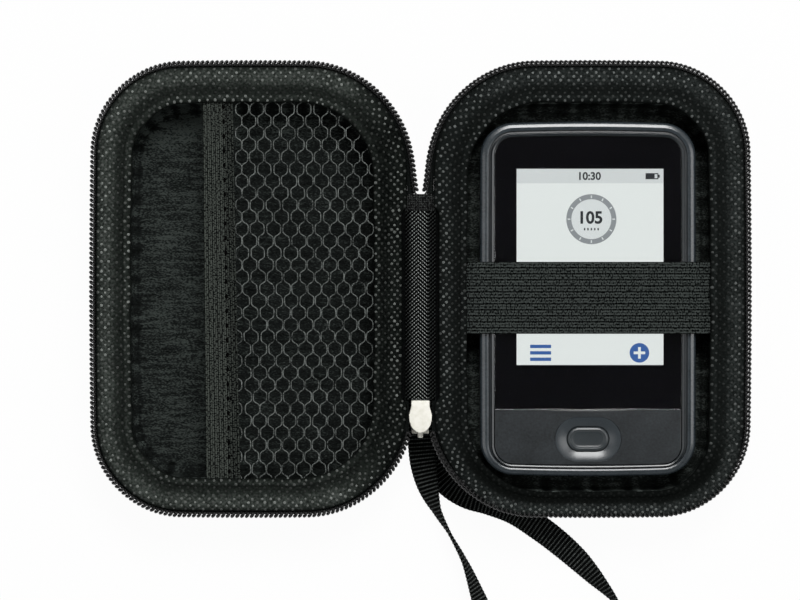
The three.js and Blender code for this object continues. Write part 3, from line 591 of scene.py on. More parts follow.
wrist_webbing = webbing_finish("wrist webbing")
tell(wrist_webbing)

# %% Wrist strap
WEBBING_WIDTH = 8.0
WEBBING_THICKNESS = 1.2
ROUTE_STEPS = 30
RIB_STEPS = 4
RIB_DEPTHS = (0.12, 0.16)
TABLE_GAP = 0.2


def squared(wave):
    """A sine wave that stays near its ends for longer, which makes a round section almost square."""
    return np.sign(wave) * abs(wave) ** 0.5


def webbing_line():
    """Points along the webbing, with its roll as a fourth column, and the length at each point."""
    x, y, roll, lift = np.array(webbing_route, float).T
    angle = np.radians(roll)
    stand = (WEBBING_WIDTH * abs(np.sin(angle)) + WEBBING_THICKNESS * abs(np.cos(angle))) / 2
    curve = smooth_line(np.column_stack((x, y, TABLE_GAP + stand + lift)), ROUTE_STEPS)
    turn = np.interp(np.linspace(0, 1, len(curve)), np.linspace(0, 1, len(x)), angle)
    run = lengths_along(curve)
    print("webbing runs", run[-1].round(1), "mm")
    marks = np.arange(0, run[-1], WEBBING_RIB / RIB_STEPS)
    return points_at(np.column_stack((curve, turn)), run, marks), marks


def make_wrist_strap(finish):
    line, marks = webbing_line()
    along = unit(np.gradient(line[:, :3], axis=0))
    level = unit(np.column_stack((along[:, 1], -along[:, 0], np.zeros(len(line)))))
    turn = line[:, 3:]
    across = level * np.cos(turn) + np.cross(along, level) * np.sin(turn)
    normal = np.cross(along, across)
    ribs = 0.5 + 0.5 * np.cos(2 * math.pi * marks / WEBBING_RIB)
    section = full_turn(24)
    half_wide = WEBBING_WIDTH / 2 - RIB_DEPTHS[0] * (1 - ribs)
    half_thick = WEBBING_THICKNESS / 2 - RIB_DEPTHS[1] * (1 - ribs)
    rings = (
        line[:, None, :3]
        + across[:, None] * (half_wide[:, None] * squared(np.cos(section)))[:, :, None]
        + normal[:, None] * (half_thick[:, None] * squared(np.sin(section)))[:, :, None]
    )
    shape = Shape()
    shape.skin(rings, caps=True, relief=np.repeat(ribs, len(section)))
    strap = shape.make("wrist_loop", [finish], "wrist_webbing", "tray", ["wrist_strap"], 60)
    path = line[::RIB_STEPS, :3] * MM
    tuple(path[0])


make_wrist_strap(wrist_webbing)

# %% [markdown]
# ## Outlines of the case
# Both halves share one outline: a rounded rectangle with larger corners at the hinge and sides that bow
# out a little. It could be drawn as a curve, but a function gives it again at any inset, and
# everything sewn to the rim follows it at some inset. The recess has an outline of its own, because its
# rim is narrower at the tray's lower end. The lid is the tray's mirror image.

# %% Rounded outline
SIDE_BOW = 0.9
OUTER_CORNER = 26.0
HINGE_CORNER = 31.0
SQUARE = ((1, 1), (-1, 1), (-1, -1), (1, -1))


def rounded_outline(width, length, near_radius, far_radius, bow, inset, arc_steps=24, side_steps=48):
    """Counter-clockwise points, from the outer side round the top to the hinge side and back."""
    half = np.array([width, length]) / 2 - bow
    radii = (far_radius, near_radius, near_radius, far_radius)
    arcs = []
    for turn, (corner, radius) in enumerate(zip(SQUARE, radii)):
        bend = max(radius - inset, 0.5)
        centre = np.array(corner) * (half - inset - bend)
        angles = (turn + np.linspace(0, 1, arc_steps + 1)) * math.pi / 2
        arcs.append(centre + bend * np.column_stack((np.cos(angles), np.sin(angles))))
    shares = np.arange(1, side_steps)[:, None] / side_steps
    parts = []
    for arc, following in zip(arcs, arcs[1:] + arcs[:1]):
        parts += [arc, arc[-1] + (following[0] - arc[-1]) * shares]
    plan = np.vstack(parts)
    return plan * (1 + bow / half * (1 - (plan[:, ::-1] / half[::-1]) ** 2))


def case_outline(inset, **steps):
    corners = (HINGE_CORNER, OUTER_CORNER)
    return rounded_outline(HALF_WIDTH, HALF_LENGTH, *corners, SIDE_BOW, inset, **steps)


print("the rim is", round(lengths_along(case_outline(0))[-1], 1), "mm round")

# %% Outline of the recess
RECESS_HALF_WIDTH = 37.2
RECESS_TOP = 54.9
RECESS_LOW = {"tray": -59.7, "lid": -55.8}
RECESS_CORNERS = (20.0, 15.0)


def recess_outline(half, inset, narrower=0.0, **steps):
    low = RECESS_LOW[half]
    width = 2 * (RECESS_HALF_WIDTH - narrower)
    outline = rounded_outline(width, RECESS_TOP - low, *RECESS_CORNERS, SIDE_BOW, inset, **steps)
    return outline + (0, (RECESS_TOP + low) / 2)


for half in RECESS_LOW:
    print("the recess of the", half, "is", np.ptp(recess_outline(half, 0), axis=0).round(1))

# %% Places and sections
SIDES = {"tray": 1, "lid": -1}


def at_height(plan, z):
    return np.column_stack((plan, np.broadcast_to(z, (len(plan),))))


def on_half(points, half):
    """From a half's own middle, with the hinge towards -x, to that half's place in the open case."""
    points = np.array(points, float)
    points[..., 0] = SIDES[half] * (HALF_CENTRE + points[..., 0])
    return points


def eased(points, radius, steps=4, closed=False):
    """A line whose corners are rounded off."""
    points = np.asarray(points, float)
    count = len(points)
    line = []
    for index in range(count):
        corner = points[index]
        if not closed and index in (0, count - 1):
            line.append(corner)
            continue
        before, after = points[index - 1] - corner, points[(index + 1) % count] - corner
        start = corner + before * min(radius / np.linalg.norm(before), 0.48)
        end = corner + after * min(radius / np.linalg.norm(after), 0.48)
        for t in np.linspace(0, 1, steps + 1):
            line.append((1 - t) ** 2 * start + 2 * t * (1 - t) * corner + t**2 * end)
    return np.array(line)


def swept(outline, section):
    """Rings of an outline, one for each [inset, height] of a section."""
    return [at_height(outline(inset), z) for inset, z in section]


def arc_profile(inset, z, radius, steps):
    """[inset, height] along a quarter circle, from the flat underside up to the wall."""
    angles = np.linspace(0, math.pi / 2, steps + 1)
    return np.column_stack((inset - radius * np.sin(angles), z - radius * np.cos(angles)))


print("the middle of the lid is at", on_half([(0, 0, 0)], "lid")[0].round(2).tolist())

# %% [markdown]
# ## Foam shells
# Each half is a pressed foam tray, laminated with a dark plain-weave cloth. Its base edge is generously
# round and its wall leans in a little. A sheet with a Solidify modifier could give that form, but two
# skins round the outline keep cloth and foam apart: the cloth ends at the rim, and the raw foam on
# the rim and inside is a dull black of its own. UVs run along the rim and up the wall in millimetres,
# so the weave follows the wall round the corners as a laminated cloth does.


# %% Cloth and foam of the shells
def shell_finish():
    finish = Finish("shell cloth", Roughness=0.6, Specular_IOR_Level=0.18, Sheen_Weight=0.08)
    threads = finish.weave(finish.place("UV"), 0.6)
    wear = finish.noise(finish.place(), 9.0, 6.0)
    finish.colour(finish.mixed(threads, wear, 0.3), (0.1, (12, 14, 14)), (0.9, (44, 47, 47)))
    finish.bump(threads, 0.15)
    return finish


def foam_finish():
    finish = cloth("raw foam", 0.95)
    cells = finish.noise(finish.place(), 0.35, 1.0)
    finish.colour(cells, (0.3, (2, 3, 3)), (0.7, (14, 15, 15)))
    finish.bump(cells, 0.1)
    return finish


shell_finishes = [shell_finish(), foam_finish()]
tell(*shell_finishes)

# %% Shells
SHELL_WALL = 3.0
WALL_LEAN_Z = 15.0
LIP_ROUND = 0.4
BASE_EDGE = 10.0
EDGE_INSET = SHELL_INSET + 0.8 + BASE_EDGE


def make_shells(finishes):
    outside = np.vstack((arc_profile(EDGE_INSET, BASE_EDGE, BASE_EDGE, 10), [
        (SHELL_INSET + LIP_ROUND, WALL_LEAN_Z),
        (SHELL_INSET, SHELL_TOP - LIP_ROUND),
        (SHELL_INSET + LIP_ROUND, SHELL_TOP),
    ]))
    inside = np.vstack((arc_profile(EDGE_INSET, BASE_EDGE, BASE_EDGE - SHELL_WALL, 5), [
        (SHELL_INSET + SHELL_WALL, SHELL_TOP),
        outside[-1],
    ]))
    for half in SIDES:
        shape = Shape()
        for number, section in enumerate((outside, inside)):
            rings = on_half(swept(case_outline, section), half)
            shape.skin(rings, finish=number)
            shape.face(rings[0], number)
        shape.make(f"{half}_foam_shell", finishes, "shell_cloth", half, [f"{half}_shell"])


make_shells(shell_finishes)

# %% [markdown]
# ## Padded linings
# Inside the foam lies a soft pad, covered with a dark knitted cloth. The cloth is pressed into the
# recess, so it gathers in upright creases on the wall and lies in slack waves on the floor. Both are
# moved points, worked out from a few sine waves, because a cloth simulation would blur such small
# creases. The tray's floor only sinks, so that the meter still lies on it.


# %% Knit of the linings
def lining_finish(name, low, middle, high):
    finish = cloth(name, 0.95)
    spot = finish.place()
    flecks = finish.noise(finish.stretched(spot, (0.5, 1.0, 1.0), 0.5), 0.36, 1.0)
    streaks = finish.noise(finish.stretched(spot, (0.12, 1.0, 1.0)), 1.1, 3.0)
    tone = finish.mixed(finish.mixed(flecks, streaks, 0.4), finish.noise(spot, 6.0), 0.1)
    # The mesh's value brings in painted light and shade: dark on the wall, under the net and in creases.
    lit = finish.math("MULTIPLY_ADD", finish.relief(), 0.35, 0.65)
    tone = finish.math("MULTIPLY", tone, lit)
    finish.colour(tone, (0.3, low), (0.47, middle), (0.6, high))
    finish.bump(tone, 0.4)
    return finish


# The tray's knit is the same cloth painted lighter, as painted light against the shade in its recess.
lining_finishes = {
    "tray": lining_finish("tray lining knit", (18, 20, 19), (41, 45, 43), (82, 88, 85)),
    "lid": lining_finish("lid lining knit", (12, 14, 13), (30, 33, 32), (64, 70, 67)),
}
tell(*lining_finishes.values())

# %% Creases and waves
TRAY_FLOOR_DROP = 0.7


def rising(value, start, end):
    """A share that goes from 0 at the start to 1 at the end."""
    return np.clip((value - start) / (end - start), 0, 1)


def creases(run, count, seed):
    """Uneven waves along a run that closes on itself, from about -1 to 1."""
    draws = np.random.default_rng(seed)
    total = np.zeros_like(run)
    for wave in (count, round(count * 1.37), round(count * 0.61)):
        total += np.sin(2 * math.pi * (wave * run + draws.random())) * draws.uniform(0.5, 1)
    return total / 2


def floor_waves(x, y, half):
    slack = (
        0.22 * np.sin(0.17 * x + 0.05 * y) + 0.16 * np.sin(0.11 * y - 0.21 * x + 1)
        + 0.14 * np.sin(0.43 * x + 0.7 * np.sin(0.06 * y)) + 0.08 * np.sin(0.31 * y + 0.2 * x)
    )
    return slack if half == "lid" else slack - TRAY_FLOOR_DROP


print("creases reach", abs(creases(np.linspace(0, 1, 500), 70, 11)).max().round(2))

# %% Rings of a lining
LINING_INSET = 5.65
LINING_TOP = 19.325
FLOOR_Z = 5.25
FLOOR_ROUND = 2.6
FLOOR_RINGS = 44
FLOOR_EASE = 6
CREASE_DEPTH = 0.3
CREASE_REST = 0.8
CREASE_START = 4.0
hidden_profile = np.vstack((
    arc_profile(EDGE_INSET, BASE_EDGE, BASE_EDGE - SHELL_WALL - 0.25, 4), [(LINING_INSET, LINING_TOP)],
))
wall_profile = eased([(0.0, LINING_TOP), (0.0, FLOOR_Z), (8.0, FLOOR_Z)], FLOOR_ROUND, 8)[:-1]
wall_profile = np.vstack((
    [(0.0, z) for z in np.linspace(LINING_TOP, wall_profile[1][1], 12)], wall_profile[2:],
))


def lining_rings(half, folds):
    """From the hidden underside over the creased wall to the middle of the floor."""
    rings = swept(case_outline, hidden_profile)
    middle = recess_outline(half, 0).mean(0)
    for inset, z in wall_profile:
        depth = CREASE_DEPTH * rising(LINING_TOP - z, 0, CREASE_START)
        plan = recess_outline(half, inset)
        rings.append(at_height(plan + unit(middle - plan) * (depth * (folds - CREASE_REST)), z))
    floor_edge = rings[-1][:, :2]
    for share in np.linspace(0, 1, FLOOR_RINGS + 1)[1:-1]:
        plan = floor_edge + (middle - floor_edge) * share
        waves = min(1.0, share * FLOOR_EASE) * floor_waves(plan[:, 0], plan[:, 1], half)
        rings.append(at_height(plan, FLOOR_Z + waves))
    return np.array(rings)


print("a lining has", len(hidden_profile), "hidden rings and", len(wall_profile), "on its wall")

# %% Linings
WALL_LIGHT = 0.7
WALL_FOOT_LIGHT = [0.4, 0.7]
NET_SHADE = 0.4
NET_SHADE_X = (8, 4)
UPPER_END_LIGHT = 0.7
UPPER_END_Y = (42, 50)


def lining_light(half, rings, folds):
    """Painted light and shade: painted shade on the wall, at its foot, under the net and in the creases,
    and painted light on the folds and at the lid's upper end.
    """
    first, last = len(hidden_profile), len(hidden_profile) + len(wall_profile)
    light = np.ones(len(rings))
    light[:first] = 0.0
    light[first:last - 2] = WALL_LIGHT
    light[last - 2:last] = WALL_FOOT_LIGHT
    under_net = (half == "lid") * rising(rings[..., 0], *NET_SHADE_X)
    upper_end = (half == "lid") * rising(rings[..., 1], *UPPER_END_Y)
    light = light[:, None] * (1 - NET_SHADE * under_net) * (1 + UPPER_END_LIGHT * upper_end)
    light[first:last] *= np.clip(1 + folds.ravel(), 0, 2)
    return light


def make_linings(finishes):
    for half in SIDES:
        run = lengths_round(recess_outline(half, 0))[:-1]
        folds = creases(run / run[-1], 70, 11)[:, None]
        rings = lining_rings(half, folds)
        shape = Shape()
        shape.skin(on_half(rings, half), caps=True, relief=lining_light(half, rings, folds))
        name = f"{half}_padded_lining"
        pad = shape.make(name, [finishes[half]], "lining_cloth", half, [f"{half}_lining"], 60)


make_linings(lining_finishes)

# %% [markdown]
# ## Edge bindings
# A strip of pressed cloth, sprinkled with little raised dots, is rolled over the rim of each half and
# sewn down. Its section is a broad outer roll, a sewn valley and a narrow inner ridge that hides the
# ends of the strap and of the pocket. The dots are small domes on the skin: they catch the lamp one by
# one, and a bump could not do that on the rolled edge. The cloth carries a painted sheen on its rolls,
# the dots carry painted glints, both get painted shade by the hinge, and a few places are made darker.

# %% Section of the binding
BINDING_TOP = RIM_Z - 0.45
BINDING_LOW = SHELL_TOP + 0.25
BINDING_FOOT = SHELL_TOP - 0.05
binding_section = [
    (0.0, BINDING_LOW), (0.0, BINDING_TOP - 0.75), (0.1, BINDING_TOP - 0.1), (0.27, BINDING_TOP),
    (0.45, BINDING_TOP - 0.12), (0.6, BINDING_TOP - 0.85), (0.72, BINDING_TOP - 1.1),
    (0.8, BINDING_TOP - 0.6), (0.89, BINDING_TOP - 0.4), (0.97, BINDING_TOP - 0.75),
    (1.0, BINDING_TOP - 1.35), (0.985, BINDING_FOOT),
]
# Painted sheen across the section: painted light on the rolls and painted shade in the valley.
binding_sheen = [
    (0.0, 0.35), (0.1, 0.85), (0.27, 1.0), (0.45, 0.85), (0.62, 0.5), (0.74, 0.4), (0.86, 0.75),
    (1.0, 0.2),
]
print("the binding's section has", len(binding_section), "points, up to", round(BINDING_TOP, 2))


# %% Cloth and dots of the binding
def binding_finish(name, low, middle, high):
    finish = cloth(name)
    spot = finish.place()
    fibres = finish.noise(spot, 0.7, 4.0)
    patches = finish.noise(spot, 7.0, 3.0)
    # lit brings in the mesh's painted sheen and painted shade.
    lit = finish.math("MULTIPLY_ADD", finish.relief(), 0.7, 0.3)
    tone = finish.math("MULTIPLY", finish.mixed(fibres, patches, 0.25), lit)
    finish.colour(tone, (0.16, low), (0.4, middle), (0.66, high))
    finish.roughness(patches, 0.8, 1.0)
    finish.bump(fibres, 0.25)
    return finish


def dot_finish(name, dull, bright):
    finish = cloth(name, 0.7)
    # A dot's colour goes from dull to bright with the painted glint that the mesh carries.
    finish.colour(finish.relief(), (0.0, dull), (1.0, bright))
    finish.bump(finish.noise(finish.place(), 0.2), 0.05)
    return finish


binding_finishes = {
    "tray": [
        binding_finish("tray binding", (11, 13, 12), (24, 27, 26), (50, 54, 53)),
        dot_finish("tray binding dots", (12, 14, 13), (118, 122, 120)),
    ],
    "lid": [
        binding_finish("lid binding", (7, 9, 8), (36, 40, 37), (74, 79, 75)),
        dot_finish("lid binding dots", (16, 18, 17), (128, 132, 128)),
    ],
}
for finishes in binding_finishes.values():
    tell(*finishes)

# %% Rings of the binding
SIDE_OVERHANG = 1.4
SETBACK_ENDS = (-34.0, 24.5)
SPINE_SETBACK = 1.6
SETBACK_EASE = 2.0
HINGE_SIDE_DEPTH = 8.0
EDGE_WAVE = 0.22
OUTER_BULGE = 0.4
LOWER_BULGE = {"tray": 1.9, "lid": 0.4}
LOWER_BULGE_Y = (-45, -57)
BULGE_EASE = 20.0
fine_steps = {"arc_steps": 36, "side_steps": 90}


def binding_grid(half):
    """Rings of the binding from the outer edge to the recess, and how far across each ring lies."""
    outer = case_outline(SHELL_INSET, **fine_steps)
    from_hinge = outer[:, :1] + HALF_WIDTH / 2
    low_end = rising(outer[:, 1:], *LOWER_BULGE_Y)
    bulge = OUTER_BULGE + (LOWER_BULGE[half] - OUTER_BULGE) * low_end
    further_out = case_outline(SHELL_INSET - 1, **fine_steps) - outer
    outer += further_out * bulge * rising(from_hinge, 0, BULGE_EASE)
    low, high = SETBACK_ENDS
    y = outer[:, 1]
    by_spine = rising(y, low, low + SETBACK_EASE) * rising(y, high, high - SETBACK_EASE)
    on_hinge_side = outer[:, 0] < -HALF_WIDTH / 2 + HINGE_SIDE_DEPTH
    outer[:, 0] += SPINE_SETBACK * by_spine * on_hinge_side
    inner = recess_outline(half, 0, SIDE_OVERHANG, **fine_steps)
    run = lengths_round(inner)
    wave = EDGE_WAVE * creases(run[:-1] / run[-1], 19, 3)[:, None]
    inner += unit(inner - inner.mean(0)) * wave
    section = eased(binding_section, 0.6, 3)
    rings = [at_height(outer + (inner - outer) * share, z) for share, z in section]
    return np.array(rings), section[:, 0]


print("a binding has", len(binding_grid("lid")[0]), "rings")

# %% Painted shade and darker places of the binding
HINGE_FADE_X = (-40, -26)
DARK_END_Y = (-44, -52)
DARK_END_SHARE = (0.45, 0.6)
DARK_END = 0.9
# Places where the dots' painted glints are made dimmer.
RIDGE_SHARE = 0.75
RIDGE_DIMMING = 0.65
TRAY_RIDGE_DIMMING = 0.55
CORNER_X = (22, 30)
CORNER_Y = (36, 44)
LOWER_RIDGE_DIMMING = 0.6
LOWER_RIDGE_Y = (-10, -30)
TRAY_SIDE_DIMMING = 0.4
TRAY_SIDE_X = (30, 38)


def binding_darkening(half, points, share, hinge_shade):
    """How dark the cloth is made: painted shade by the hinge, and darker inside the tray's lower end."""
    across = abs(points[..., 0]) - HALF_CENTRE
    hinge = hinge_shade + (1 - hinge_shade) * rising(across, *HINGE_FADE_X)
    lower = rising(points[..., 1], *DARK_END_Y) * (half == "tray")
    return hinge * (1 - DARK_END * lower * rising(share, *DARK_END_SHARE))


def dot_dimming(half, points, share):
    """Dots are dull on the tray's outer side, and on the inner ridge of the tray and of the corners."""
    across, up = abs(points[:, 0]) - HALF_CENTRE, points[:, 1]
    if half == "tray":
        ridge = TRAY_RIDGE_DIMMING
        side = TRAY_SIDE_DIMMING * rising(across, *TRAY_SIDE_X)
    else:
        corner = rising(abs(across), *CORNER_X) * rising(abs(up), *CORNER_Y)
        ridge = np.maximum(corner, LOWER_RIDGE_DIMMING * rising(up, *LOWER_RIDGE_Y))
        side = 0.0
    return (1 - RIDGE_DIMMING * ridge * (share > RIDGE_SHARE)) * (1 - side)


corner_spot = np.array([[-HALF_CENTRE - 35, 50, RIM_Z]])
print("a dot on the lid's inner corner keeps", dot_dimming("lid", corner_spot, 0.9).round(2).tolist())

# %% Dots of the binding
DOT_PITCH = 2.55
DOT_RADIUS = 0.44
DOT_HEIGHT = 0.14
DOT_STRAY = 0.13
DOT_HINGE_SHADE = 0.7
LOW_END_FADE = {"tray": 0.3, "lid": 0.0}
LOW_END_Y = (-52, -60)
# Each row's glow is the strength of its painted glint, strongest on the crown of the roll.
dot_rows = [
    (0.06, 0.5), (0.165, 1.0), (0.27, 0.95), (0.375, 0.7), (0.48, 0.4), (0.6, 0.22), (0.71, 0.16),
    (0.82, 0.6), (0.93, 0.85),
]
dot_dome = [(1.1, -0.5), (0.8, 0.5), (0.35, 0.95)]


def dot_brightness(half, spot, share):
    fade = 1 - LOW_END_FADE[half] * rising(spot[:, 1], *LOW_END_Y)
    return binding_darkening(half, spot, share, DOT_HINGE_SHADE) * fade * dot_dimming(half, spot, share)


def place_dots(shape, half, grid, shares, seed, finish):
    draws = np.random.default_rng(seed)
    top = grid[:int(np.argmax(shares)) + 1]
    shares = shares[:len(top)]
    keep = np.concatenate(([True], np.diff(shares) > 1e-6))
    top, shares = top[keep], shares[keep]
    run = lengths_round(top[len(top) // 2])
    count = int(run[-1] / DOT_PITCH)
    columns = np.arange(top.shape[1] + 1)
    turns = full_turn(8)[:, None]
    for number, (share, glow) in enumerate(dot_rows):
        row = np.interp(share, shares, np.arange(len(shares)))
        low = min(int(row), len(top) - 2)
        step = top[low + 1] - top[low]
        ring = top[low] + step * (row - low)
        stray = draws.uniform(-DOT_STRAY, DOT_STRAY, count)
        marks = (np.arange(count) + 0.5 * (number % 2) + stray) / count * run[-1]
        column = np.interp(marks, run, columns)
        index = column.astype(int) % len(ring)
        onward = ring[(index + 1) % len(ring)] - ring[index]
        spot = ring[index] + onward * (column % 1)[:, None]
        along = unit(onward)
        across = unit(step)[index]
        sideways = unit(across - along * np.sum(across * along, axis=1, keepdims=True))
        normal = np.cross(along, sideways)
        normal *= np.sign(normal[:, 2:])
        bright = glow * draws.uniform(0.3, 1.1, count) * dot_brightness(half, spot, share)
        size = DOT_RADIUS * draws.uniform(0.75, 1.1, count)
        circle = along[:, None] * np.cos(turns) + sideways[:, None] * np.sin(turns)
        rings = [
            spot[:, None] + (DOT_HEIGHT * lift) * normal[:, None] + (size * reach)[:, None, None] * circle
            for reach, lift in dot_dome
        ]
        for centre in range(count):
            shape.skin([ring[centre] for ring in rings], finish=finish, relief=bright[centre])
            shape.face(rings[-1][centre], finish, bright[centre])


print("a binding has", len(dot_rows), "rows of dots, about", DOT_PITCH, "mm apart")

# %% Bindings
HINGE_SHADE = {"tray": 0.6, "lid": 0.2}
INNER_WALL = 0.3
DOT_SEED = 21


def make_bindings(finishes):
    for number, half in enumerate(SIDES):
        grid, shares = binding_grid(half)
        inner_floor = at_height(case_outline(LINING_INSET, **fine_steps), BINDING_FOOT)
        inner_wall = inner_floor + (0, 0, INNER_WALL)
        rings = on_half(np.concatenate((grid, [inner_floor, inner_wall])), half)
        shares_all = np.append(shares, (0, 0))
        sheen = np.interp(shares_all, *np.array(binding_sheen).T)
        light = [
            glow * binding_darkening(half, ring, share, HINGE_SHADE[half])
            for ring, share, glow in zip(rings, shares_all, sheen)
        ]
        shape = Shape()
        shape.skin(rings, round_profile=True, relief=np.concatenate(light))
        place_dots(shape, half, on_half(grid, half), shares, DOT_SEED + number, 1)
        name = f"{half}_dotted_binding"
        shape.make(name, finishes[half], "binding_cloth", half, [f"{half}_edge_binding"], 60)


make_bindings(binding_finishes)

# %% [markdown]
# ## Zip
# A coil zip runs round three sides. Its teeth are one long nylon filament, wound in a flat helix and
# sewn to the edge of a woven tape. Single teeth on an array would be quicker, but a helix along the
# outline is what the real coil is. Each turn leans back over itself and slants along the chain, so that
# the loops look like hooks from above. The tape is a thin wall below the coil, with a lip under it.

# %% Run of the zip
ZIP_START = -42.8
ZIP_END = 28.3
ZIP_MEET = 44.0
ZIP_MEET_SHIFT = 1.25


def meeting_shift(plan):
    """How far the chains draw together towards the upper end of the zip."""
    near = rising(plan[:, 1], ZIP_MEET, ZIP_END) ** 2
    return ZIP_MEET_SHIFT * near * ((plan[:, 0] < -HALF_WIDTH / 4) & (plan[:, 1] > 0))


def zip_run(inset, step):
    """The outline from the lower end of the hinge side round to its upper end, in even steps."""
    plan = case_outline(inset, arc_steps=60, side_steps=240)
    hinge_side = plan[:, 0] < -HALF_WIDTH / 4
    in_gap = hinge_side & (plan[:, 1] > ZIP_START) & (plan[:, 1] < ZIP_END)
    plan[:, 0] -= meeting_shift(plan)
    start = int(np.flatnonzero(in_gap)[-1]) + 1
    kept = np.roll(plan, -start, axis=0)[:len(plan) - int(in_gap.sum())]
    run = even_steps(kept, step)
    along = unit(np.gradient(run, axis=0))
    return run, along, np.column_stack((along[:, 1], -along[:, 0]))


print("the zip is", lengths_along(zip_run(0.0, 1.0)[0])[-1].round(1), "mm long")


# %% Nylon, tape and thread
def nylon_finish():
    finish = Finish("zip nylon", Roughness=0.3, Specular_IOR_Level=0.5)
    wear = finish.noise(finish.place(), 0.8, 3.0)
    finish.colour(wear, (0.3, (5, 5, 5)), (0.8, (24, 25, 25)))
    finish.roughness(wear, 0.22, 0.42)
    return finish


def tape_finish():
    finish = cloth("zip tape weave")
    threads = finish.weave(finish.place("UV"), 0.45)
    finish.colour(threads, (0.0, (4, 5, 5)), (1.0, (30, 33, 32)))
    finish.bump(threads, 0.12)
    return finish


def thread_finish():
    finish = cloth("sewing thread", 0.6)
    twist = finish.ribs(finish.place("UV"), 0.3, "DIAGONAL")
    finish.colour(twist, (0.0, (14, 15, 15)), (1.0, (46, 49, 48)))
    finish.bump(twist, 0.05)
    return finish


nylon = nylon_finish()
woven_tape = tape_finish()
sewing_thread = thread_finish()
tell(nylon, woven_tape, sewing_thread)

# %% Coils
COIL_PITCH = 1.42
COIL_STEPS = 16
COIL_INSETS = (0.4, 1.6)
COIL_HEIGHTS = (RIM_Z - 1.7, RIM_Z - 0.62)
COIL_SLANT = 0.5
COIL_CURL = {"tray": 3.5, "lid": 2.6}
FILAMENT = 0.3
HEAD_SWELL = 0.4


def between(low_high, wave):
    """A value that follows a wave of -1 to 1 from low to high."""
    low, high = low_high
    return (low + high) / 2 + (high - low) / 2 * wave


def make_coil(half, finish):
    """The curl bends a loop back over itself: 1 is a plain bead and 4 an open eye. Then it slants."""
    run, along, out = zip_run(0.0, COIL_PITCH / COIL_STEPS)
    turn = 2 * math.pi * np.arange(len(run)) / COIL_STEPS
    outward, upward = np.cos(turn), np.sin(turn)
    inset = between(COIL_INSETS, -outward)
    lean = COIL_CURL[half] * COIL_PITCH / (2 * math.pi) * upward - COIL_SLANT * outward
    plan = run - out * inset[:, None] - along * lean[:, None]
    radial = np.column_stack((out * outward[:, None], upward))
    radius = FILAMENT * (1 + HEAD_SWELL * np.clip(outward, 0, 1) ** 3)
    rings = tube_rings(at_height(plan, between(COIL_HEIGHTS, upward)), radius, 6, radial)
    shape = Shape()
    shape.skin(on_half(rings, half), caps=True)
    shape.make(f"{half}_zip_coil", [finish], "zip_nylon", half, [f"{half}_zip_teeth"], 60)


print("a coil has about", int(lengths_along(zip_run(0.0, 1.0)[0])[-1] / COIL_PITCH), "loops")

# %% Tapes
TAPE_STEP = 0.8
TAPE_LOW = RIM_Z - 7.65
TAPE_LIP = {"tray": 1.45, "lid": 1.0}
TAPE_INSETS = (1.66, 2.38)
HINGE_STRIPS = ((-44.5, -31.5), (22.5, 29.0))
HINGE_STRIP_X = 3.45
HINGE_STRIP_TOP = RIM_Z - 2.1
STITCH_PITCH = 3.2
STITCH_LENGTH = 2.3
STITCH_RADIUS = 0.19
STITCH_Z = RIM_Z - 5.6


def tape_wall(shape, half):
    run, _, out = zip_run(0.0, TAPE_STEP)
    lip = TAPE_LIP[half]
    near, far = TAPE_INSETS
    section = eased([
        (near, TAPE_LOW), (near, RIM_Z - 2.75), (lip, RIM_Z - 2.7), (lip, RIM_Z - 2.2),
        (near + 0.2, RIM_Z - 2.0), (far, RIM_Z - 1.0), (far, TAPE_LOW),
    ], 0.15, 2, closed=True)
    rings = np.stack([at_height(run - out * inset, z) for inset, z in section], 1)
    rings[:, section[:, 0] > near + 0.1, 0] += meeting_shift(run)[:, None]
    shape.skin(on_half(rings, half), caps=True)


def tape_ends(shape, half):
    """Short strips that go on from both ends of the zip along the hinge side of the shell."""
    shell_edge = case_outline(SHELL_INSET + 0.6)
    shell_edge = shell_edge[shell_edge[:, 0] < -HALF_WIDTH / 4]
    for low, high in HINGE_STRIPS:
        y = np.linspace(low, high, 24)
        far = np.interp(-y, -shell_edge[:, 1], shell_edge[:, 0])
        near = np.full(len(y), HINGE_STRIP_X - HALF_CENTRE)
        sides = [(near, TAPE_LOW), (near, HINGE_STRIP_TOP), (far, HINGE_STRIP_TOP), (far, TAPE_LOW)]
        rings = np.stack([at_height(np.column_stack((x, y)), z) for x, z in sides], 1)
        shape.skin(on_half(rings, half), caps=True)


def tape_stitches(shape, half, finish):
    run, along, out = zip_run(TAPE_INSETS[0], STITCH_PITCH)
    share = np.linspace(-0.5, 0.5, 6)
    for spot, forward, sideways in zip(run[1:-1], along[1:-1], out[1:-1]):
        arch = sideways * (0.16 - 1.3 * share**2)[:, None]
        plan = spot + forward * (share * STITCH_LENGTH)[:, None] + arch
        rings = tube_rings(at_height(plan, STITCH_Z), STITCH_RADIUS, 6, UP)
        shape.skin(on_half(rings, half), caps=True, finish=finish)


def make_tape(half, finishes):
    shape = Shape()
    tape_wall(shape, half)
    tape_ends(shape, half)
    tape_stitches(shape, half, 1)
    shape.make(f"{half}_woven_zip_tape", finishes, "zip_tape_cloth", half, [f"{half}_zip_tape"])


for half in SIDES:
    make_coil(half, nylon)
    make_tape(half, [woven_tape, sewing_thread])

# %% [markdown]
# ## Spine
# A broad herringbone tape joins the halves. It stands in an arch over the hinge when the case is open,
# and it folds flat when the case is shut. Here it is one mesh, in the form of its open arch.
# A bump could draw the zigzag, but it would vanish on the edge of the arch. So the ribs are geometry:
# a height that rises and falls along a slanted direction, which changes sides from column to column.

# %% Herringbone
SPINE_RIB = 1.15
SPINE_SLANT = 0.9
SPINE_THREAD = 0.62
# Painted shade darkens both edges of the arch, beyond this reach from this middle.
LIT_MIDDLE = -0.4
SIDE_SHADE_REACH = (1.9, 3.3)
spine_columns = [(-4.5, 1), (-0.7, -1), (2.2, 1)]


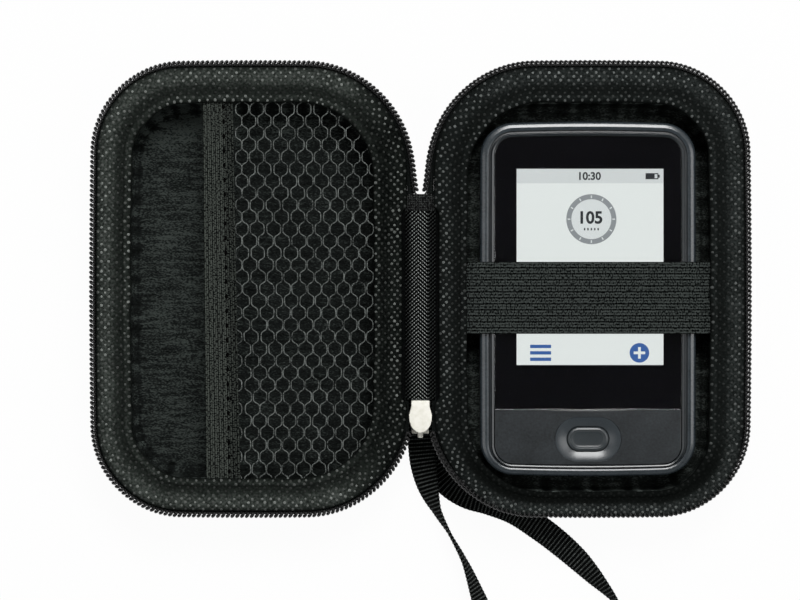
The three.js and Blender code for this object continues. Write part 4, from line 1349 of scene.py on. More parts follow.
def spine_finish():
    finish = cloth("spine herringbone")
    fibres = finish.noise(finish.place("UV"), 0.3, 3.0)
    # The colour follows the mesh's value: dark in the grooves as painted shade, and darker at the arch's
    # edges.
    tone = finish.math("MULTIPLY", finish.relief(), finish.math("ADD", fibres, 0.5))
    finish.colour(tone, (0.08, (1, 1, 1)), (0.4, (54, 57, 56)), (0.85, (198, 202, 199)))
    finish.bump(fibres, 0.1)
    return finish


def herringbone(x, y):
    """Relief of the weave from 0 to 1, by place across and along the tape."""
    starts, slants = np.array(spine_columns).T
    column = np.clip(np.searchsorted(starts, x, side="right") - 1, 0, len(starts) - 1)
    offset = np.concatenate(([0], np.cumsum(slants[:-1] * np.diff(starts))))
    zigzag = offset[column] + slants[column] * (x - starts[column])
    rib = 0.5 + 0.5 * np.sin(2 * math.pi * (y - zigzag * SPINE_SLANT) / SPINE_RIB)
    thread = 0.62 + 0.38 * np.cos(2 * math.pi * x / SPINE_THREAD)
    # side is painted shade at both edges of the arch; it lowers the ribs there a little too.
    side = 1 - 0.5 * rising(abs(x - LIT_MIDDLE), *SIDE_SHADE_REACH)
    return rib**2.6 * thread * side


herringbone_tape = spine_finish()
tell(herringbone_tape)

# %% Spine
SPINE_ENDS_Y = (-32.6, 23.0)
SPINE_HALF = 4.5
SPINE_LEG_X = 3.4
SPINE_CROWN = RIM_Z - 0.35
SPINE_SPRING = RIM_Z - 1.95
SPINE_LEG_Z = (14.1, SPINE_SPRING - 1.6)
SPINE_THICKNESS = 0.7
SPINE_RELIEF = 0.16


def make_spine(finish):
    arch = np.linspace(0, math.pi, 61)
    leg_z = np.linspace(*SPINE_LEG_Z, 19)
    leg_x = np.full(len(leg_z), SPINE_LEG_X)
    x = np.concatenate((leg_x, SPINE_HALF * np.cos(arch), -leg_x))
    crown = SPINE_SPRING + (SPINE_CROWN - SPINE_SPRING) * np.sin(arch)
    z = np.concatenate((leg_z, crown, leg_z[::-1]))
    across = unit(np.gradient(np.column_stack((x, z)), axis=0))
    out_x, out_z = across[:, 1], -across[:, 0]
    y = np.arange(*SPINE_ENDS_Y, SPINE_RIB / 6)[:, None]
    down = np.maximum(SPINE_SPRING - z, 0)
    relief = herringbone((x + np.sign(x) * down)[None], y)
    sheets = []
    for lift in (SPINE_RELIEF * (relief - 1), np.full(relief.shape, -SPINE_THICKNESS)):
        grid = np.broadcast_arrays(x + out_x * lift, y, z + out_z * lift)
        sheets.append(np.stack(grid, axis=2))
    upper, lower = sheets
    shape = Shape()
    shape.skin(
        np.concatenate((upper, lower[:, ::-1]), axis=1), caps=True,
        relief=np.concatenate((relief, relief[:, ::-1]), axis=1),
    )
    spine = shape.make("spine_herringbone_tape", [finish], "spine_cloth", None, ["spine_tape"], 60)
    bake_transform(spine)


make_spine(herringbone_tape)

# %% [markdown]
# ## Slider, pull tab and anchor
# The small hard parts of the zip are cast and lacquered in pale cream, with soft edges, and the anchor
# is a stiff fold of webbing. They could be built again from rings, but their form is already right in
# the frame. So a copy of the node's mesh gets its facets joined and its edges bevelled, and stands
# for the node.


# %% Softened copies
def softened(node, name, finish, body, width):
    """A copy of a node's mesh with its flat faces joined and its edges rounded."""
    mesh = nodes[node].data.copy()
    mesh.name = name
    mesh.transform(nodes[node].matrix_world)
    mesh.materials.clear()
    mesh.materials.append(finish.material)
    work = bmesh.new()
    work.from_mesh(mesh)
    bmesh.ops.remove_doubles(work, verts=work.verts, dist=0.01 * MM)
    bmesh.ops.dissolve_limit(work, angle_limit=math.radians(4), verts=work.verts, edges=work.edges)
    sharp = math.radians(25)
    edges = [edge for edge in work.edges if edge.is_manifold and edge.calc_face_angle(0) > sharp]
    bmesh.ops.bevel(
        work, geom=edges, offset=width * MM, segments=3, profile=0.5, affect="EDGES",
        clamp_overlap=True,
    )
    for face in work.faces:
        face.material_index = 0
    finished(work, mesh, body, [node], 40)


def lacquer_finish():
    finish = Finish("cream lacquer", Roughness=0.35, Specular_IOR_Level=0.5)
    spot = finish.place()
    blotch = finish.noise(spot, 1.6, 4.0)
    finish.colour(blotch, (0.25, (236, 234, 220)), (0.6, (252, 250, 240)))
    finish.roughness(blotch, 0.45, 0.3)
    finish.bump(finish.noise(spot, 0.5), 0.03)
    return finish


lacquer = lacquer_finish()
anchor_webbing = webbing_finish("anchor webbing", ribs_in_mesh=False)
tell(lacquer, anchor_webbing)

# %% Hard parts of the zip
softened("slider_body", "zip_slider", lacquer, "tray", 0.35)
softened("pull_tab", "zip_pull_tab", lacquer, "pull_tab", 0.3)
softened("strap_anchor", "webbing_anchor", anchor_webbing, "tray", 0.6)

# %% [markdown]
# ## Folded tape at the end of the zip
# At the upper end of the zip a short tab of the same tape is folded over the two chains and sewn down,
# so that the slider can't run off. It could be a bent plane with a Solidify modifier. Here it is one
# skin over a rounded section, arched between the halves, because the fold at its open end shows.

# %% Folded tape
FOLD_REACH = 4.3
FOLD_START = 22.75
FOLD_TOP = RIM_Z - 1.1
FOLD_ARCH = 0.9
fold_section = [
    (0.0, -0.9), (0.0, -0.35), (0.25, -0.05), (0.9, 0.0), (4.4, 0.0), (5.0, -0.15), (5.25, -0.5),
    (5.25, -0.9),
]


def fold_finish():
    finish = cloth("folded tape")
    spot = finish.place()
    threads = finish.weave(spot, 0.5)
    flecks = finish.math("MULTIPLY", threads, finish.noise(spot, 0.6, 3.0))
    finish.colour(flecks, (0.1, (5, 5, 5)), (0.35, (24, 25, 25)), (0.6, (78, 81, 79)))
    finish.bump(threads, 0.15)
    return finish


def make_end_fold(finish):
    """A tab of tape, arched between the halves, with its open end folded under."""
    share = np.linspace(-1, 1, 25)
    top = FOLD_TOP - FOLD_ARCH * share**2
    rings = [
        np.column_stack((FOLD_REACH * share, np.full(len(share), FOLD_START + along), top + drop))
        for along, drop in eased(fold_section, 0.25, 3)
    ]
    shape = Shape()
    shape.skin(rings, round_profile=True, round_ring=False)
    for column in (0, -1):
        shape.face([ring[column] for ring in rings])
    shape.make("zip_end_fold", [finish], "zip_tape_cloth", "tray", ["zip_end_tab"])


make_end_fold(fold_finish())

# %% [markdown]
# ## Elastic strap
# The strap that holds the meter is ribbed elastic: two dozen rubber cords side by side, with a fine
# thread wound across them. It runs flat over the meter, dips beside it and goes under the inner ridge
# of the binding at both sides. A plain ribbon with a bump would look flat at its ends, so the cords
# are geometry, and only the threads across them are a finish.


# %% Elastic
def elastic_finish(name, mid, light):
    """Grey knit with uneven rows of small dark gaps, and painted shade in the grooves where the mesh's
    value is low.
    """
    finish = cloth(name)
    spot = finish.place("UV")
    knit = finish.noise(finish.stretched(spot, (0.6, 1.0, 1.0)), 0.4, 0.0)
    gaps = finish.add("MapRange", {"Value": knit, "From Min": 0.3, "From Max": 0.55})
    worn = finish.math("MULTIPLY_ADD", finish.noise(spot, 3.0, 3.0), 0.4, 0.8)
    tone = finish.mixed(finish.relief(), gaps.outputs["Result"], 0.5)
    tone = finish.math("MULTIPLY", tone, worn)
    finish.colour(tone, (0.25, (2, 2, 2)), (0.55, mid), (0.9, light))
    finish.bump(tone, 0.12)
    return finish


strap_elastic = elastic_finish("strap elastic", (20, 23, 22), (66, 71, 69))
band_elastic = elastic_finish("band elastic", (32, 35, 33), (72, 77, 72))
tell(strap_elastic, band_elastic)

# %% Ribbed strap
RIB_COLUMNS = 6
DIM_FROM = 0.42


def strap_skin(centre, normal, across, half_width, ribs, thickness, depth, dim=0.0):
    """A flat strap with lengthwise ribs. Every second groove is deeper, and one side can be dim."""
    share = np.linspace(-1, 1, ribs * RIB_COLUMNS + 1)
    phase = (share + 1) / 2 * ribs * math.pi
    groove = abs(np.cos(phase)) ** 1.8
    relief = 1 - groove * (0.78 + 0.22 * np.cos(phase))
    reach = (np.broadcast_to(half_width, (len(centre),))[:, None] * share)[:, :, None] * across
    rise = (thickness / 2 - depth * (1 - relief))[None, :, None] * normal[:, None]
    upper = centre[:, None] + reach + rise
    lower = (centre[:, None] + reach - rise)[:, ::-1]
    rings = np.concatenate((upper, lower), axis=1)
    light = relief * (1 - dim * (share > DIM_FROM))
    both_sides = np.concatenate((light, light[::-1]))
    shape = Shape()
    shape.skin(rings, caps=True, relief=np.tile(both_sides, len(centre)))
    return shape


print("a strap has", RIB_COLUMNS, "columns of faces to a rib")

# %% Elastic strap
STRAP_WIDTH = 21.2
STRAP_Y = -2.6
STRAP_CORDS = 24
STRAP_THICKNESS = 1.0
STRAP_GROOVE = 0.2
STRAP_STEP = 0.7
strap_side = [(39.4, 20.0), (36.4, 20.05), (34.2, 20.7), (32.2, 21.32), (28.0, 21.36)]


def make_elastic_strap(finish):
    side = smooth_line(strap_side, 10)
    half = np.vstack((side, [(x, side[-1, 1]) for x in np.linspace(side[-1, 0], 0, 40)[1:]]))
    profile = even_steps(np.vstack((half * (-1, 1), half[::-1][1:])), STRAP_STEP)
    along = unit(np.gradient(profile, axis=0))
    still = np.zeros(len(profile))
    centre = np.column_stack((HALF_CENTRE + profile[:, 0], still + STRAP_Y, profile[:, 1]))
    normal = np.column_stack((-along[:, 1], still, along[:, 0]))
    across = np.array([0, 1.0, 0])
    shape = strap_skin(
        centre, normal, across, STRAP_WIDTH / 2, STRAP_CORDS, STRAP_THICKNESS, STRAP_GROOVE,
    )
    shape.make("elastic_retaining_strap", [finish], "elastic_cloth", "tray", ["elastic_strap"], 60)


make_elastic_strap(strap_elastic)

# %% [markdown]
# ## Pocket band
# The mouth of the lid's pocket is edged with the same kind of elastic, sewn to the net with a column
# of needle holes along the seam. It leans a little and is narrower at its upper end, as a band tends to
# be that is stretched by hand while it is sewn in. The holes could be cut with a boolean, but they
# are so small that dark spots just above the ribs look the same.

# %% Pocket band
BAND_MIDDLE = 9.5
BAND_HALF = 4.72
BAND_LEAN = 0.8
BAND_TAPER = 0.3
BAND_Z = 20.05
BAND_RIBS = 15
BAND_THICKNESS = 0.9
BAND_GROOVE = 0.14
BAND_DIM = 0.4
BAND_STEP = 0.7
BAND_UNDER = 1.6
NEEDLE_PITCH = 4.3
NEEDLE_SHARE = 0.36
NEEDLE_SIZE = np.array([0.75, 1.25]) * 0.6
NEEDLE_Z = BAND_Z + 0.47


def hole_finish():
    # Dark discs for the needle holes: painted shade where each hole is.
    finish = cloth("needle holes")
    finish.colour(finish.noise(finish.place(), 0.3), (0.3, (2, 2, 2)), (0.8, (9, 9, 8)))
    return finish


def make_band(finishes):
    low, high = RECESS_LOW["lid"], RECESS_TOP
    y = np.arange(low - BAND_UNDER, high + BAND_UNDER, BAND_STEP)
    upward = y / RECESS_TOP
    half_width = BAND_HALF - BAND_TAPER * upward
    middle = BAND_MIDDLE + BAND_LEAN * upward
    centre = on_half(np.column_stack((middle, y, np.full(len(y), BAND_Z))), "lid")
    normal = np.tile(UP, (len(y), 1))
    across = np.array([1.0, 0, 0])
    shape = strap_skin(
        centre, normal, across, half_width, BAND_RIBS, BAND_THICKNESS, BAND_GROOVE, BAND_DIM,
    )
    turns = full_turn(10)
    hole = np.column_stack((np.cos(turns), np.sin(turns))) * NEEDLE_SIZE
    for spot in np.arange(low + 2, high - 1, NEEDLE_PITCH):
        x = np.interp(spot, y, centre[:, 0] + NEEDLE_SHARE * half_width)
        shape.face(at_height(hole + (x, spot), NEEDLE_Z), 1)
    shape.make("pocket_elastic_band", finishes, "elastic_cloth", "lid", ["pocket_band"], 60)


make_band([band_elastic, hole_finish()])

# %% [markdown]
# ## Pocket net
# The pocket itself is a knitted net, stretched from the band to the binding. Each cord of the net
# zigzags and is knotted to its left and right neighbour in turn, which makes the hexagons. A honeycomb
# with a Wireframe modifier would be quicker, but its corners are sharp and every cell is the same.
# So every cord is a tube on a rounded zigzag with a little slack of its own, and neighbours run
# in opposite phase.

# %% Cords of the net
NET_COLUMN, NET_ROW = 4.6, 3.54
NET_STEP = 0.3
NET_CORD = 0.18
NET_KNOT = 0.25
NET_SQUARENESS = 2.2
NET_UNDER = 1.2
NET_Z = 19.95
NET_SAG = 0.25
NET_EDGE = 4.45
NET_SEED = 5


def net_finish():
    finish = cloth("net cord", 0.75)
    spot = finish.place()
    twist = finish.noise(spot, 0.5, 3.0)
    tone = finish.mixed(twist, finish.noise(spot, 3.0), 0.4)
    finish.colour(tone, (0.36, (26, 28, 27)), (0.62, (124, 129, 126)))
    finish.bump(twist, 0.15)
    return finish


def cord_slack(y, middle, draws):
    slack = 0.1 * np.sin(0.13 * y + draws.uniform(0, 6)) + 0.07 * np.sin(0.41 * y + draws.uniform(0, 6))
    drift = 0.5 * np.sin(0.045 * y + 0.12 * middle)
    return slack + drift + 0.05 * np.sin(1.1 * y + draws.uniform(0, 6))


def net_cords():
    """One line for each cord, from the band outwards. The first has no slack: it is sewn down."""
    draws = np.random.default_rng(NET_SEED)
    edge = recess_outline("lid", -NET_UNDER)
    rows = [row[np.argsort(row[:, 0])].T for row in (edge[edge[:, 1] < 0], edge[edge[:, 1] > 0])]
    count = int((NET_EDGE - edge[:, 0].min()) / (NET_COLUMN / 2))
    for number in range(count):
        middle = NET_EDGE - 0.3 - number * NET_COLUMN / 2
        low, high = (np.interp(middle, *row) for row in rows)
        y = np.arange(low, high, NET_STEP)
        if len(y) < 8:
            continue
        swing = np.cos(math.pi * y / NET_ROW) * (1 if number % 2 else -1)
        wave = np.tanh(NET_SQUARENESS * swing) / math.tanh(NET_SQUARENESS)
        slack = cord_slack(y, middle, draws) * (number > 0)
        x = middle + (NET_COLUMN / 4 - NET_KNOT) * wave + slack
        sag = NET_SAG * np.sin(math.pi * (y - low) / (high - low))
        yield np.column_stack((x, y, NET_Z - sag + 0.08 * np.sin(1.77 * y)))


net_cord = net_finish()
tell(net_cord)


def make_net(finish):
    shape = Shape()
    total = 0.0
    for cord in net_cords():
        shape.skin(on_half(tube_rings(cord, NET_CORD, 6, UP), "lid"), caps=True)
        total += lengths_along(cord)[-1]
    net = shape.make("pocket_hexagon_net", [finish], "net_cord", "lid", ["pocket_net"], 60)


make_net(net_cord)

# %% [markdown]
# ## Meter housing
# The meter is a flat box of satin grey plastic: a rear cover, and a front bezel with a broad pale rim,
# a fine groove and a raised line round the glass. A box with a Bevel modifier has one bevel all round,
# but this front has several. So the bezel is a skin with many rings, and each step catches its own
# line of light. The cover is the frame's own form with softened edges.

# %% Outline and plastic of the meter
METER_CORNER = 9.5
METER_BOW = np.array([0.1, 0.8])
LOWER_LIP = 1.0
LOWER_LIP_INSET = (1.5, 4.0)


def meter_outline(inset):
    """Well inside the edge the outline comes lower, because the lip is narrow at the lower end."""
    width, length = METER_SIZE[:2]
    plan = rounded_outline(width, length, METER_CORNER, METER_CORNER, METER_BOW, inset)
    drop = LOWER_LIP * rising(inset, *LOWER_LIP_INSET)
    plan[:, 1] *= np.where(plan[:, 1] < 0, 1 + drop / (length / 2 - inset), 1)
    return plan + METER_CENTRE[:2]


def satin_plastic(name, dark, light, rough, grain, gloss=0.4):
    finish = Finish(name, Roughness=rough, Specular_IOR_Level=gloss)
    spot = finish.place()
    haze = finish.noise(spot, 7.0, 3.0)
    speckle = finish.noise(spot, grain)
    finish.colour(finish.mixed(haze, speckle, 0.6), (0.3, dark), (0.7, light))
    finish.roughness(haze, rough - 0.03, rough + 0.03)
    finish.bump(speckle, 0.006)
    return finish


housing_plastic = satin_plastic("housing plastic", (36, 41, 45), (50, 56, 60), 0.5, 0.3)
bezel_plastic = satin_plastic("bezel plastic", (20, 26, 29), (32, 38, 42), 0.24, 0.4, 0.7)
rim_plastic = satin_plastic("rim plastic", (32, 39, 43), (58, 65, 70), 0.22, 0.6, 0.8)
tell(housing_plastic, bezel_plastic, rim_plastic)


# %% Rear cover and bezel
def make_bezel(line, rim):
    """The rim is the broad outer band, and the line is what lies inside the groove."""
    top = METER_TOP
    outside = [
        (1.8, top - 3.2), (1.8, bezel_low[2]), (0.0, bezel_low[2]), (0.0, top - 1.7),
        (0.2, top - 0.85), (0.7, top - 0.45), (1.6, top - 0.22), (2.5, top - 0.32), (2.65, top - 1.0),
    ]
    inside = [
        outside[-1], (3.2, top - 1.0), (3.3, top - 0.35), (3.45, top), (4.15, top - 0.19),
        (4.2, top - 1.7), (6.0, top - 1.7), (6.0, top - 3.2), outside[0],
    ]
    shape = Shape()
    for number, section in enumerate((inside, outside)):
        shape.skin(swept(meter_outline, eased(section, 0.12)), finish=number)
    shape.make("meter_front_bezel", [line, rim], "bezel_plastic", "tray", ["meter_bezel"], 50)


softened("meter_rear_cover", "meter_back_cover", housing_plastic, "tray", 0.5)
make_bezel(bezel_plastic, rim_plastic)

# %% [markdown]
# ## Display
# Behind the glass lies a lit panel. Its picture is a plain reading: a round dial with ticks and
# a number, a clock, a battery level and two plain keys. An image would be the usual way, but meshes
# need no file and stay crisp. Digits come from Blender's own typeface, turned into mesh, and all marks
# lie in thin layers above the lit ground. The ground gives its own light, as a backlit panel does, so
# its colour doesn't depend on the lamps.

# %% Lit colours
PIXEL = 0.18
PIXEL_GRID = 0.03
PANEL_STRENGTH = 1.07


def lit_finish(name, colour):
    """A lit part of the panel, with the faint grid of its pixels."""
    finish = Finish(name, Base_Color=(0.0, 0.0, 0.0, 1.0), Roughness=0.4, Specular_IOR_Level=0.2)
    spot = finish.place()
    pixels = finish.math("MULTIPLY", finish.ribs(spot, PIXEL, "X"), finish.ribs(spot, PIXEL, "Y"))
    full = shade(*colour)
    dim = (*(level * (1 - PIXEL_GRID) for level in full[:3]), 1.0)
    glow = finish.ramp(pixels, ((0.0, dim), (1.0, full)))
    finish.join(glow, finish.shader.inputs["Emission Color"])
    finish.shader.inputs["Emission Strength"].default_value = PANEL_STRENGTH
    return finish


screen_colours = {
    "ground": (226, 231, 229),
    "strip": (206, 211, 211),
    "mark": (44, 47, 50),
    "ring": (138, 143, 146),
    "face": (214, 219, 219),
    "tick": (150, 155, 158),
    "blue": (58, 95, 158),
}
screen_finishes = [lit_finish(f"screen {name}", colour) for name, colour in screen_colours.items()]
screen_index = {name: index for index, name in enumerate(screen_colours)}
tell(*screen_finishes)

# %% Marks on the display
DISPLAY_SIZE = (43.4, 58.0)
DISPLAY_MIDDLE = (METER_CENTRE[0] + 0.62, METER_CENTRE[1] + 9.45)
PANEL_TOP = node_box("display_panel")[1][2]
LAYER = 0.012
TICK_ANGLE = 1.5


class Picture(Shape):
    """Flat marks on the display, placed in millimetres from the middle of the lit area."""

    def mark(self, points, colour, layer):
        points = np.asarray(points, float) + DISPLAY_MIDDLE
        self.face(at_height(points, PANEL_TOP + LAYER * layer), screen_index[colour])

    def bar(self, x0, y0, x1, y1, colour, layer):
        self.mark([(x0, y0), (x1, y0), (x1, y1), (x0, y1)], colour, layer)

    def tick(self, centre, inner, outer, angle, colour, layer):
        angles = np.radians([angle - TICK_ANGLE, angle + TICK_ANGLE])
        first, second = np.column_stack((np.cos(angles), np.sin(angles)))
        corners = [first * outer, second * outer, second * inner, first * inner]
        self.mark(np.array(corners) + centre, colour, layer)

    def disc(self, centre, radius, colour, layer):
        angles = full_turn(64)
        circle = np.column_stack((np.cos(angles), np.sin(angles)))
        self.mark(circle * radius + centre, colour, layer)

    def digits(self, text, centre, height, colour, layer, weight):
        """Digits in Blender's own typeface, centred on a point."""
        curve = bpy.data.curves.new("digits", "FONT")
        curve.body = text
        curve.size = 1.0
        curve.offset = weight
        curve.resolution_u = 6
        holder = bpy.data.objects.new("digits", curve)
        scene.collection.objects.link(holder)
        bpy.context.view_layer.update()
        flat = holder.evaluated_get(bpy.context.evaluated_depsgraph_get())
        mesh = bpy.data.meshes.new_from_object(flat)
        points = np.array([vertex.co[:2] for vertex in mesh.vertices])
        low, high = points.min(0), points.max(0)
        points = (points - (low + high) / 2) * (height / (high[1] - low[1])) + centre
        for face in mesh.polygons:
            self.mark(points[list(face.vertices)], colour, layer)
        bpy.data.objects.remove(holder)
        bpy.data.curves.remove(curve)
        bpy.data.meshes.remove(mesh)


print("the panel's face is at", PANEL_TOP.round(2))


# %% Display picture
def draw_strip(picture, half_x, half_y):
    """The strip along the top, with a clock and a battery level."""
    picture.bar(-half_x, half_y - 4.3, half_x, half_y, "strip", 1)
    picture.digits("10:30", (0.0, half_y - 2.15), 2.4, "mark", 2, 0.03)
    picture.bar(16.4, half_y - 3.1, 20.2, half_y - 1.3, "mark", 2)
    picture.bar(20.2, half_y - 2.65, 20.6, half_y - 1.75, "mark", 2)
    picture.bar(19.1, half_y - 2.8, 19.9, half_y - 1.6, "strip", 3)


def draw_dial(picture, x, y):
    """A ring with ticks, a number in it and five small dots below."""
    picture.disc((x, y), 7.4, "ring", 2)
    picture.disc((x, y), 5.9, "face", 3)
    for angle in range(0, 360, 30):
        picture.tick((x, y), 6.2, 7.0, angle, "face", 4)
    picture.digits("105", (x, y + 0.5), 3.8, "mark", 5, 0.03)
    for step in range(5):
        picture.bar(x - 2.2 + step, y - 3.3, x - 1.8 + step, y - 2.6, "mark", 5)


def draw_scale(picture, y):
    for x, number in zip((-13.2, 0.6, 14.4), ("6", "9", "12")):
        picture.digits(number, (x, y + 10.4), 2.2, "tick", 2, 0.01)
        picture.bar(x - 0.1, y + 12.4, x + 0.1, y + 13.4, "tick", 2)


def draw_keys(picture, reach, y):
    """Three bars on the left, and a plus in a disc on the right."""
    for level in (-1.9, 0.0, 1.9):
        picture.bar(-reach - 3.1, y + level - 0.5, -reach + 3.1, y + level + 0.5, "blue", 2)
    picture.disc((reach, y), 2.9, "blue", 2)
    picture.bar(reach - 1.7, y - 0.4, reach + 1.7, y + 0.4, "ground", 3)
    picture.bar(reach - 0.4, y - 1.7, reach + 0.4, y + 1.7, "ground", 4)


def make_picture():
    half_x, half_y = DISPLAY_SIZE[0] / 2, DISPLAY_SIZE[1] / 2
    picture = Picture()
    picture.bar(-half_x, -half_y, half_x, half_y - 4.3, "ground", 1)
    draw_strip(picture, half_x, half_y)
    draw_dial(picture, 0.4, half_y - 14.9)
    draw_scale(picture, -half_y)
    draw_keys(picture, 14.6, -half_y + 3.6)
    picture.make("display_picture", screen_finishes, "display_face", "tray")


make_picture()

# %% [markdown]
# ## Mask and glass
# Over the panel lies a sheet of clear glass whose back is printed black, with a window for the picture.
# The print could be a texture on the glass, but then glass and ink would share one shader. So the
# mask is a thin frame of its own below the glass, dull and black, and the glass is a closed solid with
# a small bevel, because light has to enter and leave it.

# %% Ink and glass
GLASS_INSET = 4.35
GLASS_TOP = METER_TOP - 0.2
glass_low = node_box("front_glass")[0]


def ink_finish():
    finish = Finish("black glass print", Roughness=0.5, Specular_IOR_Level=0.0)
    grain = finish.noise(finish.place(), 0.6)
    finish.colour(grain, (0.3, (12, 12, 16)), (0.8, (17, 17, 21)))
    return finish


def glass_finish():
    clear = (0.98, 0.99, 0.99, 1.0)
    finish = Finish("cover glass", Base_Color=clear, Roughness=0.02, IOR=1.5, Transmission_Weight=1.0)
    finish.roughness(finish.noise(finish.place(), 9.0, 4.0), 0.0, 0.03)
    return finish


def upper_window(inset):
    """The window of the bezel above the fascia."""
    plan = meter_outline(inset)
    return np.column_stack((plan[:, 0], np.maximum(plan[:, 1], glass_low[1])))


ink = ink_finish()
clear_glass = glass_finish()
tell(ink, clear_glass)

# %% Mask and glass
MASK_Z = PANEL_TOP + LAYER * 8
GLASS_LOW = glass_low[2]
glass_edge = [(0.1, GLASS_LOW), (0.0, GLASS_LOW + 0.1), (0.0, GLASS_TOP - 0.15), (0.15, GLASS_TOP)]


def make_mask(finish):
    outer = upper_window(GLASS_INSET + 0.1)
    half = np.array(DISPLAY_SIZE) / 2
    from_middle = outer - DISPLAY_MIDDLE
    window = DISPLAY_MIDDLE + from_middle / np.max(abs(from_middle) / half, axis=1)[:, None]
    for corner in SQUARE:
        target = DISPLAY_MIDDLE + half * corner
        window[np.argmin(np.linalg.norm(window - target, axis=1))] = target
    upper = [at_height(outer, MASK_Z), at_height(window, MASK_Z)]
    lower = [at_height(window, PANEL_TOP), at_height(outer, PANEL_TOP + 0.02)]
    shape = Shape()
    shape.skin(upper + lower, round_profile=True)
    shape.make("black_display_mask", [finish], "front_glass", "tray", sharp=30)


def make_glass(finish):
    plan = upper_window(GLASS_INSET)
    outward = unit(plan - plan.mean(0))
    shape = Shape()
    shape.skin([at_height(plan - outward * shrink, z) for shrink, z in glass_edge], caps=True)
    shape.make("meter_cover_glass", [finish], "front_glass", "tray", ["front_glass"])


make_mask(ink)
make_glass(clear_glass)

# %% [markdown]
# ## Fascia and key
# Below the glass lies a satin panel with a shallow oval dish pressed into it, and in the dish sits the
# one key. A boolean could cut the dish, but it leaves ragged faces that show in the gloss. So the panel
# is one smooth skin of rings that run from its outline to the oval and on into the dish. The key
# has a rounded rim and a slightly hollow top for a fingertip, and rides on its own body.

# %% Ovals
button_low, button_high = node_box("home_button")
KEY_MIDDLE = np.array([METER_CENTRE[0], button_low[1] / 2 + button_high[1] / 2])
KEY_SIZE = (12.2, 7.1)
DISH_SIZE = (19.4, 13.2)


def oval(size, grow, angles):
    """Points of an oval with straight long sides, one in each direction from its middle."""
    radius = size[1] / 2 + grow
    reach = (size[0] - size[1]) / 2
    spoke = np.column_stack((np.cos(angles), np.sin(angles)))
    flat = radius / np.maximum(abs(spoke[:, 1]), 1e-6)
    inner = reach * abs(spoke[:, 0])
    round_end = inner + np.sqrt(np.maximum(radius**2 - (reach * spoke[:, 1]) ** 2, 0))
    distance = np.where(flat * abs(spoke[:, 0]) <= reach, flat, round_end)
    return KEY_MIDDLE + spoke * distance[:, None]


key_box = np.ptp(oval(KEY_SIZE, 0, full_turn(96)), axis=0)
print("the key is", key_box.round(2), "at", KEY_MIDDLE.round(2))

# %% Fascia
KEY_GAP = 0.28
DISH_DEPTH = 0.55
DISH_STEP = 0.25
DISH_CURVE = 1.6
DISH_RINGS = 16
fascia_low, fascia_high = node_box("front_fascia")
fascia_edge = ((0.0, 0.3), (0.1, 0.07), (0.3, 0.0), (0.4, 0.0))
fascia_shares = (0.35, 0.7, 0.88, 0.96, 0.99)


def make_fascia(panel, dish):
    plan = meter_outline(GLASS_INSET)
    outer = np.column_stack((plan[:, 0], np.minimum(plan[:, 1], fascia_high[1])))
    offset = outer - KEY_MIDDLE
    angles = np.arctan2(offset[:, 1], offset[:, 0])
    rim = oval(DISH_SIZE, 0, angles)
    hole = oval(KEY_SIZE, KEY_GAP, angles)
    edge = [at_height(outer, fascia_low[2])]
    for reach, drop in fascia_edge:
        edge.append(at_height(outer - unit(offset) * reach, GLASS_TOP - drop))
    flat = edge[-1][:, :2]
    for share in fascia_shares:
        edge.append(at_height(flat + (rim - flat) * share, GLASS_TOP))
    dish_top = GLASS_TOP - DISH_STEP
    edge.append(at_height(rim, dish_top))
    bowl = [
        at_height(rim + (hole - rim) * share, dish_top - DISH_DEPTH * share**DISH_CURVE)
        for share in np.linspace(0, 1, DISH_RINGS)
    ]
    shape = Shape()
    shape.skin(edge)
    shape.skin(bowl, finish=1)
    shape.skin([bowl[-1], at_height(hole, fascia_low[2]), edge[0]])
    shape.make("front_fascia_panel", [panel, dish], "fascia_plastic", "tray", ["front_fascia"], 30)


fascia_plastic = satin_plastic("fascia plastic", (2, 7, 10), (38, 44, 48), 0.36, 0.7, 0.55)
dish_plastic = satin_plastic("dish plastic", (46, 52, 56), (56, 62, 66), 0.26, 0.3, 0.75)
make_fascia(fascia_plastic, dish_plastic)

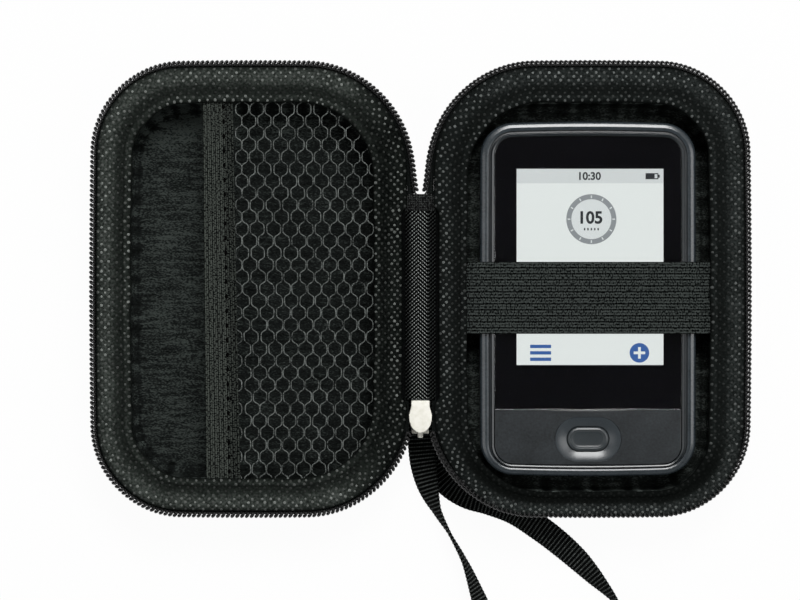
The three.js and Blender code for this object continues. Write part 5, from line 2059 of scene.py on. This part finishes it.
# %% Key
KEY_TOP = GLASS_TOP + 0.1
KEY_LOW = button_low[2]
LEAST_GROW = -3.5
key_section = [
    (-4.2, KEY_LOW), (-1.55, KEY_LOW), (-1.55, KEY_LOW + 2.4), (0.9, KEY_LOW + 2.5),
    (0.9, KEY_LOW + 3.3), (0.0, KEY_LOW + 3.4), (0.0, KEY_TOP - 0.5), (-0.18, KEY_TOP - 0.18),
    (-0.85, KEY_TOP), (-1.35, KEY_TOP - 0.33), (-1.6, KEY_TOP - 0.4), (-2.6, KEY_TOP - 0.42),
]


def make_key(finish):
    angles = full_turn(96)
    shape = Shape()
    shape.skin([
        at_height(oval(KEY_SIZE, max(grow, LEAST_GROW), angles), z)
        for grow, z in eased(key_section, 0.15, 3)
    ], caps=True)
    shape.make("home_key", [finish], "button_plastic", "home_button", ["home_button"], 40)


make_key(satin_plastic("key plastic", (36, 42, 45), (50, 56, 59), 0.3, 0.3, 0.6))

# %% [markdown]
# ## Parts inside the meter
# The board, the battery and the other parts inside are closed in and keep the frame's own solids. They
# could stay grey, because nothing shows them here. They still get a finish each, because the
# meter may be taken apart in another picture.


# %% Finishes of the inner parts
def metal(name, dark, light, rough):
    finish = Finish(name, Roughness=rough, Metallic=1.0)
    spot = finish.place()
    finish.colour(finish.noise(spot, 2.0, 4.0), (0.3, dark), (0.7, light))
    finish.roughness(finish.noise(spot, 0.6, 4.0), rough - 0.1, rough + 0.1)
    return finish


def board_finish():
    finish = Finish("board laminate", Roughness=0.45)
    bricks = {"Vector": finish.place(), "Scale": 0.3, "Mortar Size": 0.03}
    tracks = finish.add("TexBrick", bricks).outputs["Fac"]
    finish.colour(tracks, (0.0, (24, 78, 52)), (1.0, (60, 112, 78)))
    finish.bump(tracks, 0.03)
    return finish


steel = metal("plated steel", (150, 152, 154), (196, 198, 200), 0.3)
foil = metal("battery foil", (165, 168, 172), (205, 208, 212), 0.35)
inner_plastic = satin_plastic("inner plastic", (26, 27, 29), (40, 41, 43), 0.5, 0.4)
laminate = board_finish()
tell(steel, foil, inner_plastic, laminate)

# %% Inner parts
inner_parts = {
    "circuit_board": laminate,
    "battery_pack": foil,
    "display_carrier": inner_plastic,
    "speaker": inner_plastic,
    "display_panel": inner_plastic,
    "charge_socket": steel,
    "button_switch": steel,
    "vibration_motor": steel,
    **{f"board_screw_{number}": steel for number in range(1, 5)},
}
for node, finish in inner_parts.items():
    nodes[node].data.materials.clear()
    nodes[node].data.materials.append(finish.material)
print("inner parts repainted:", len(inner_parts))

# %% [markdown]
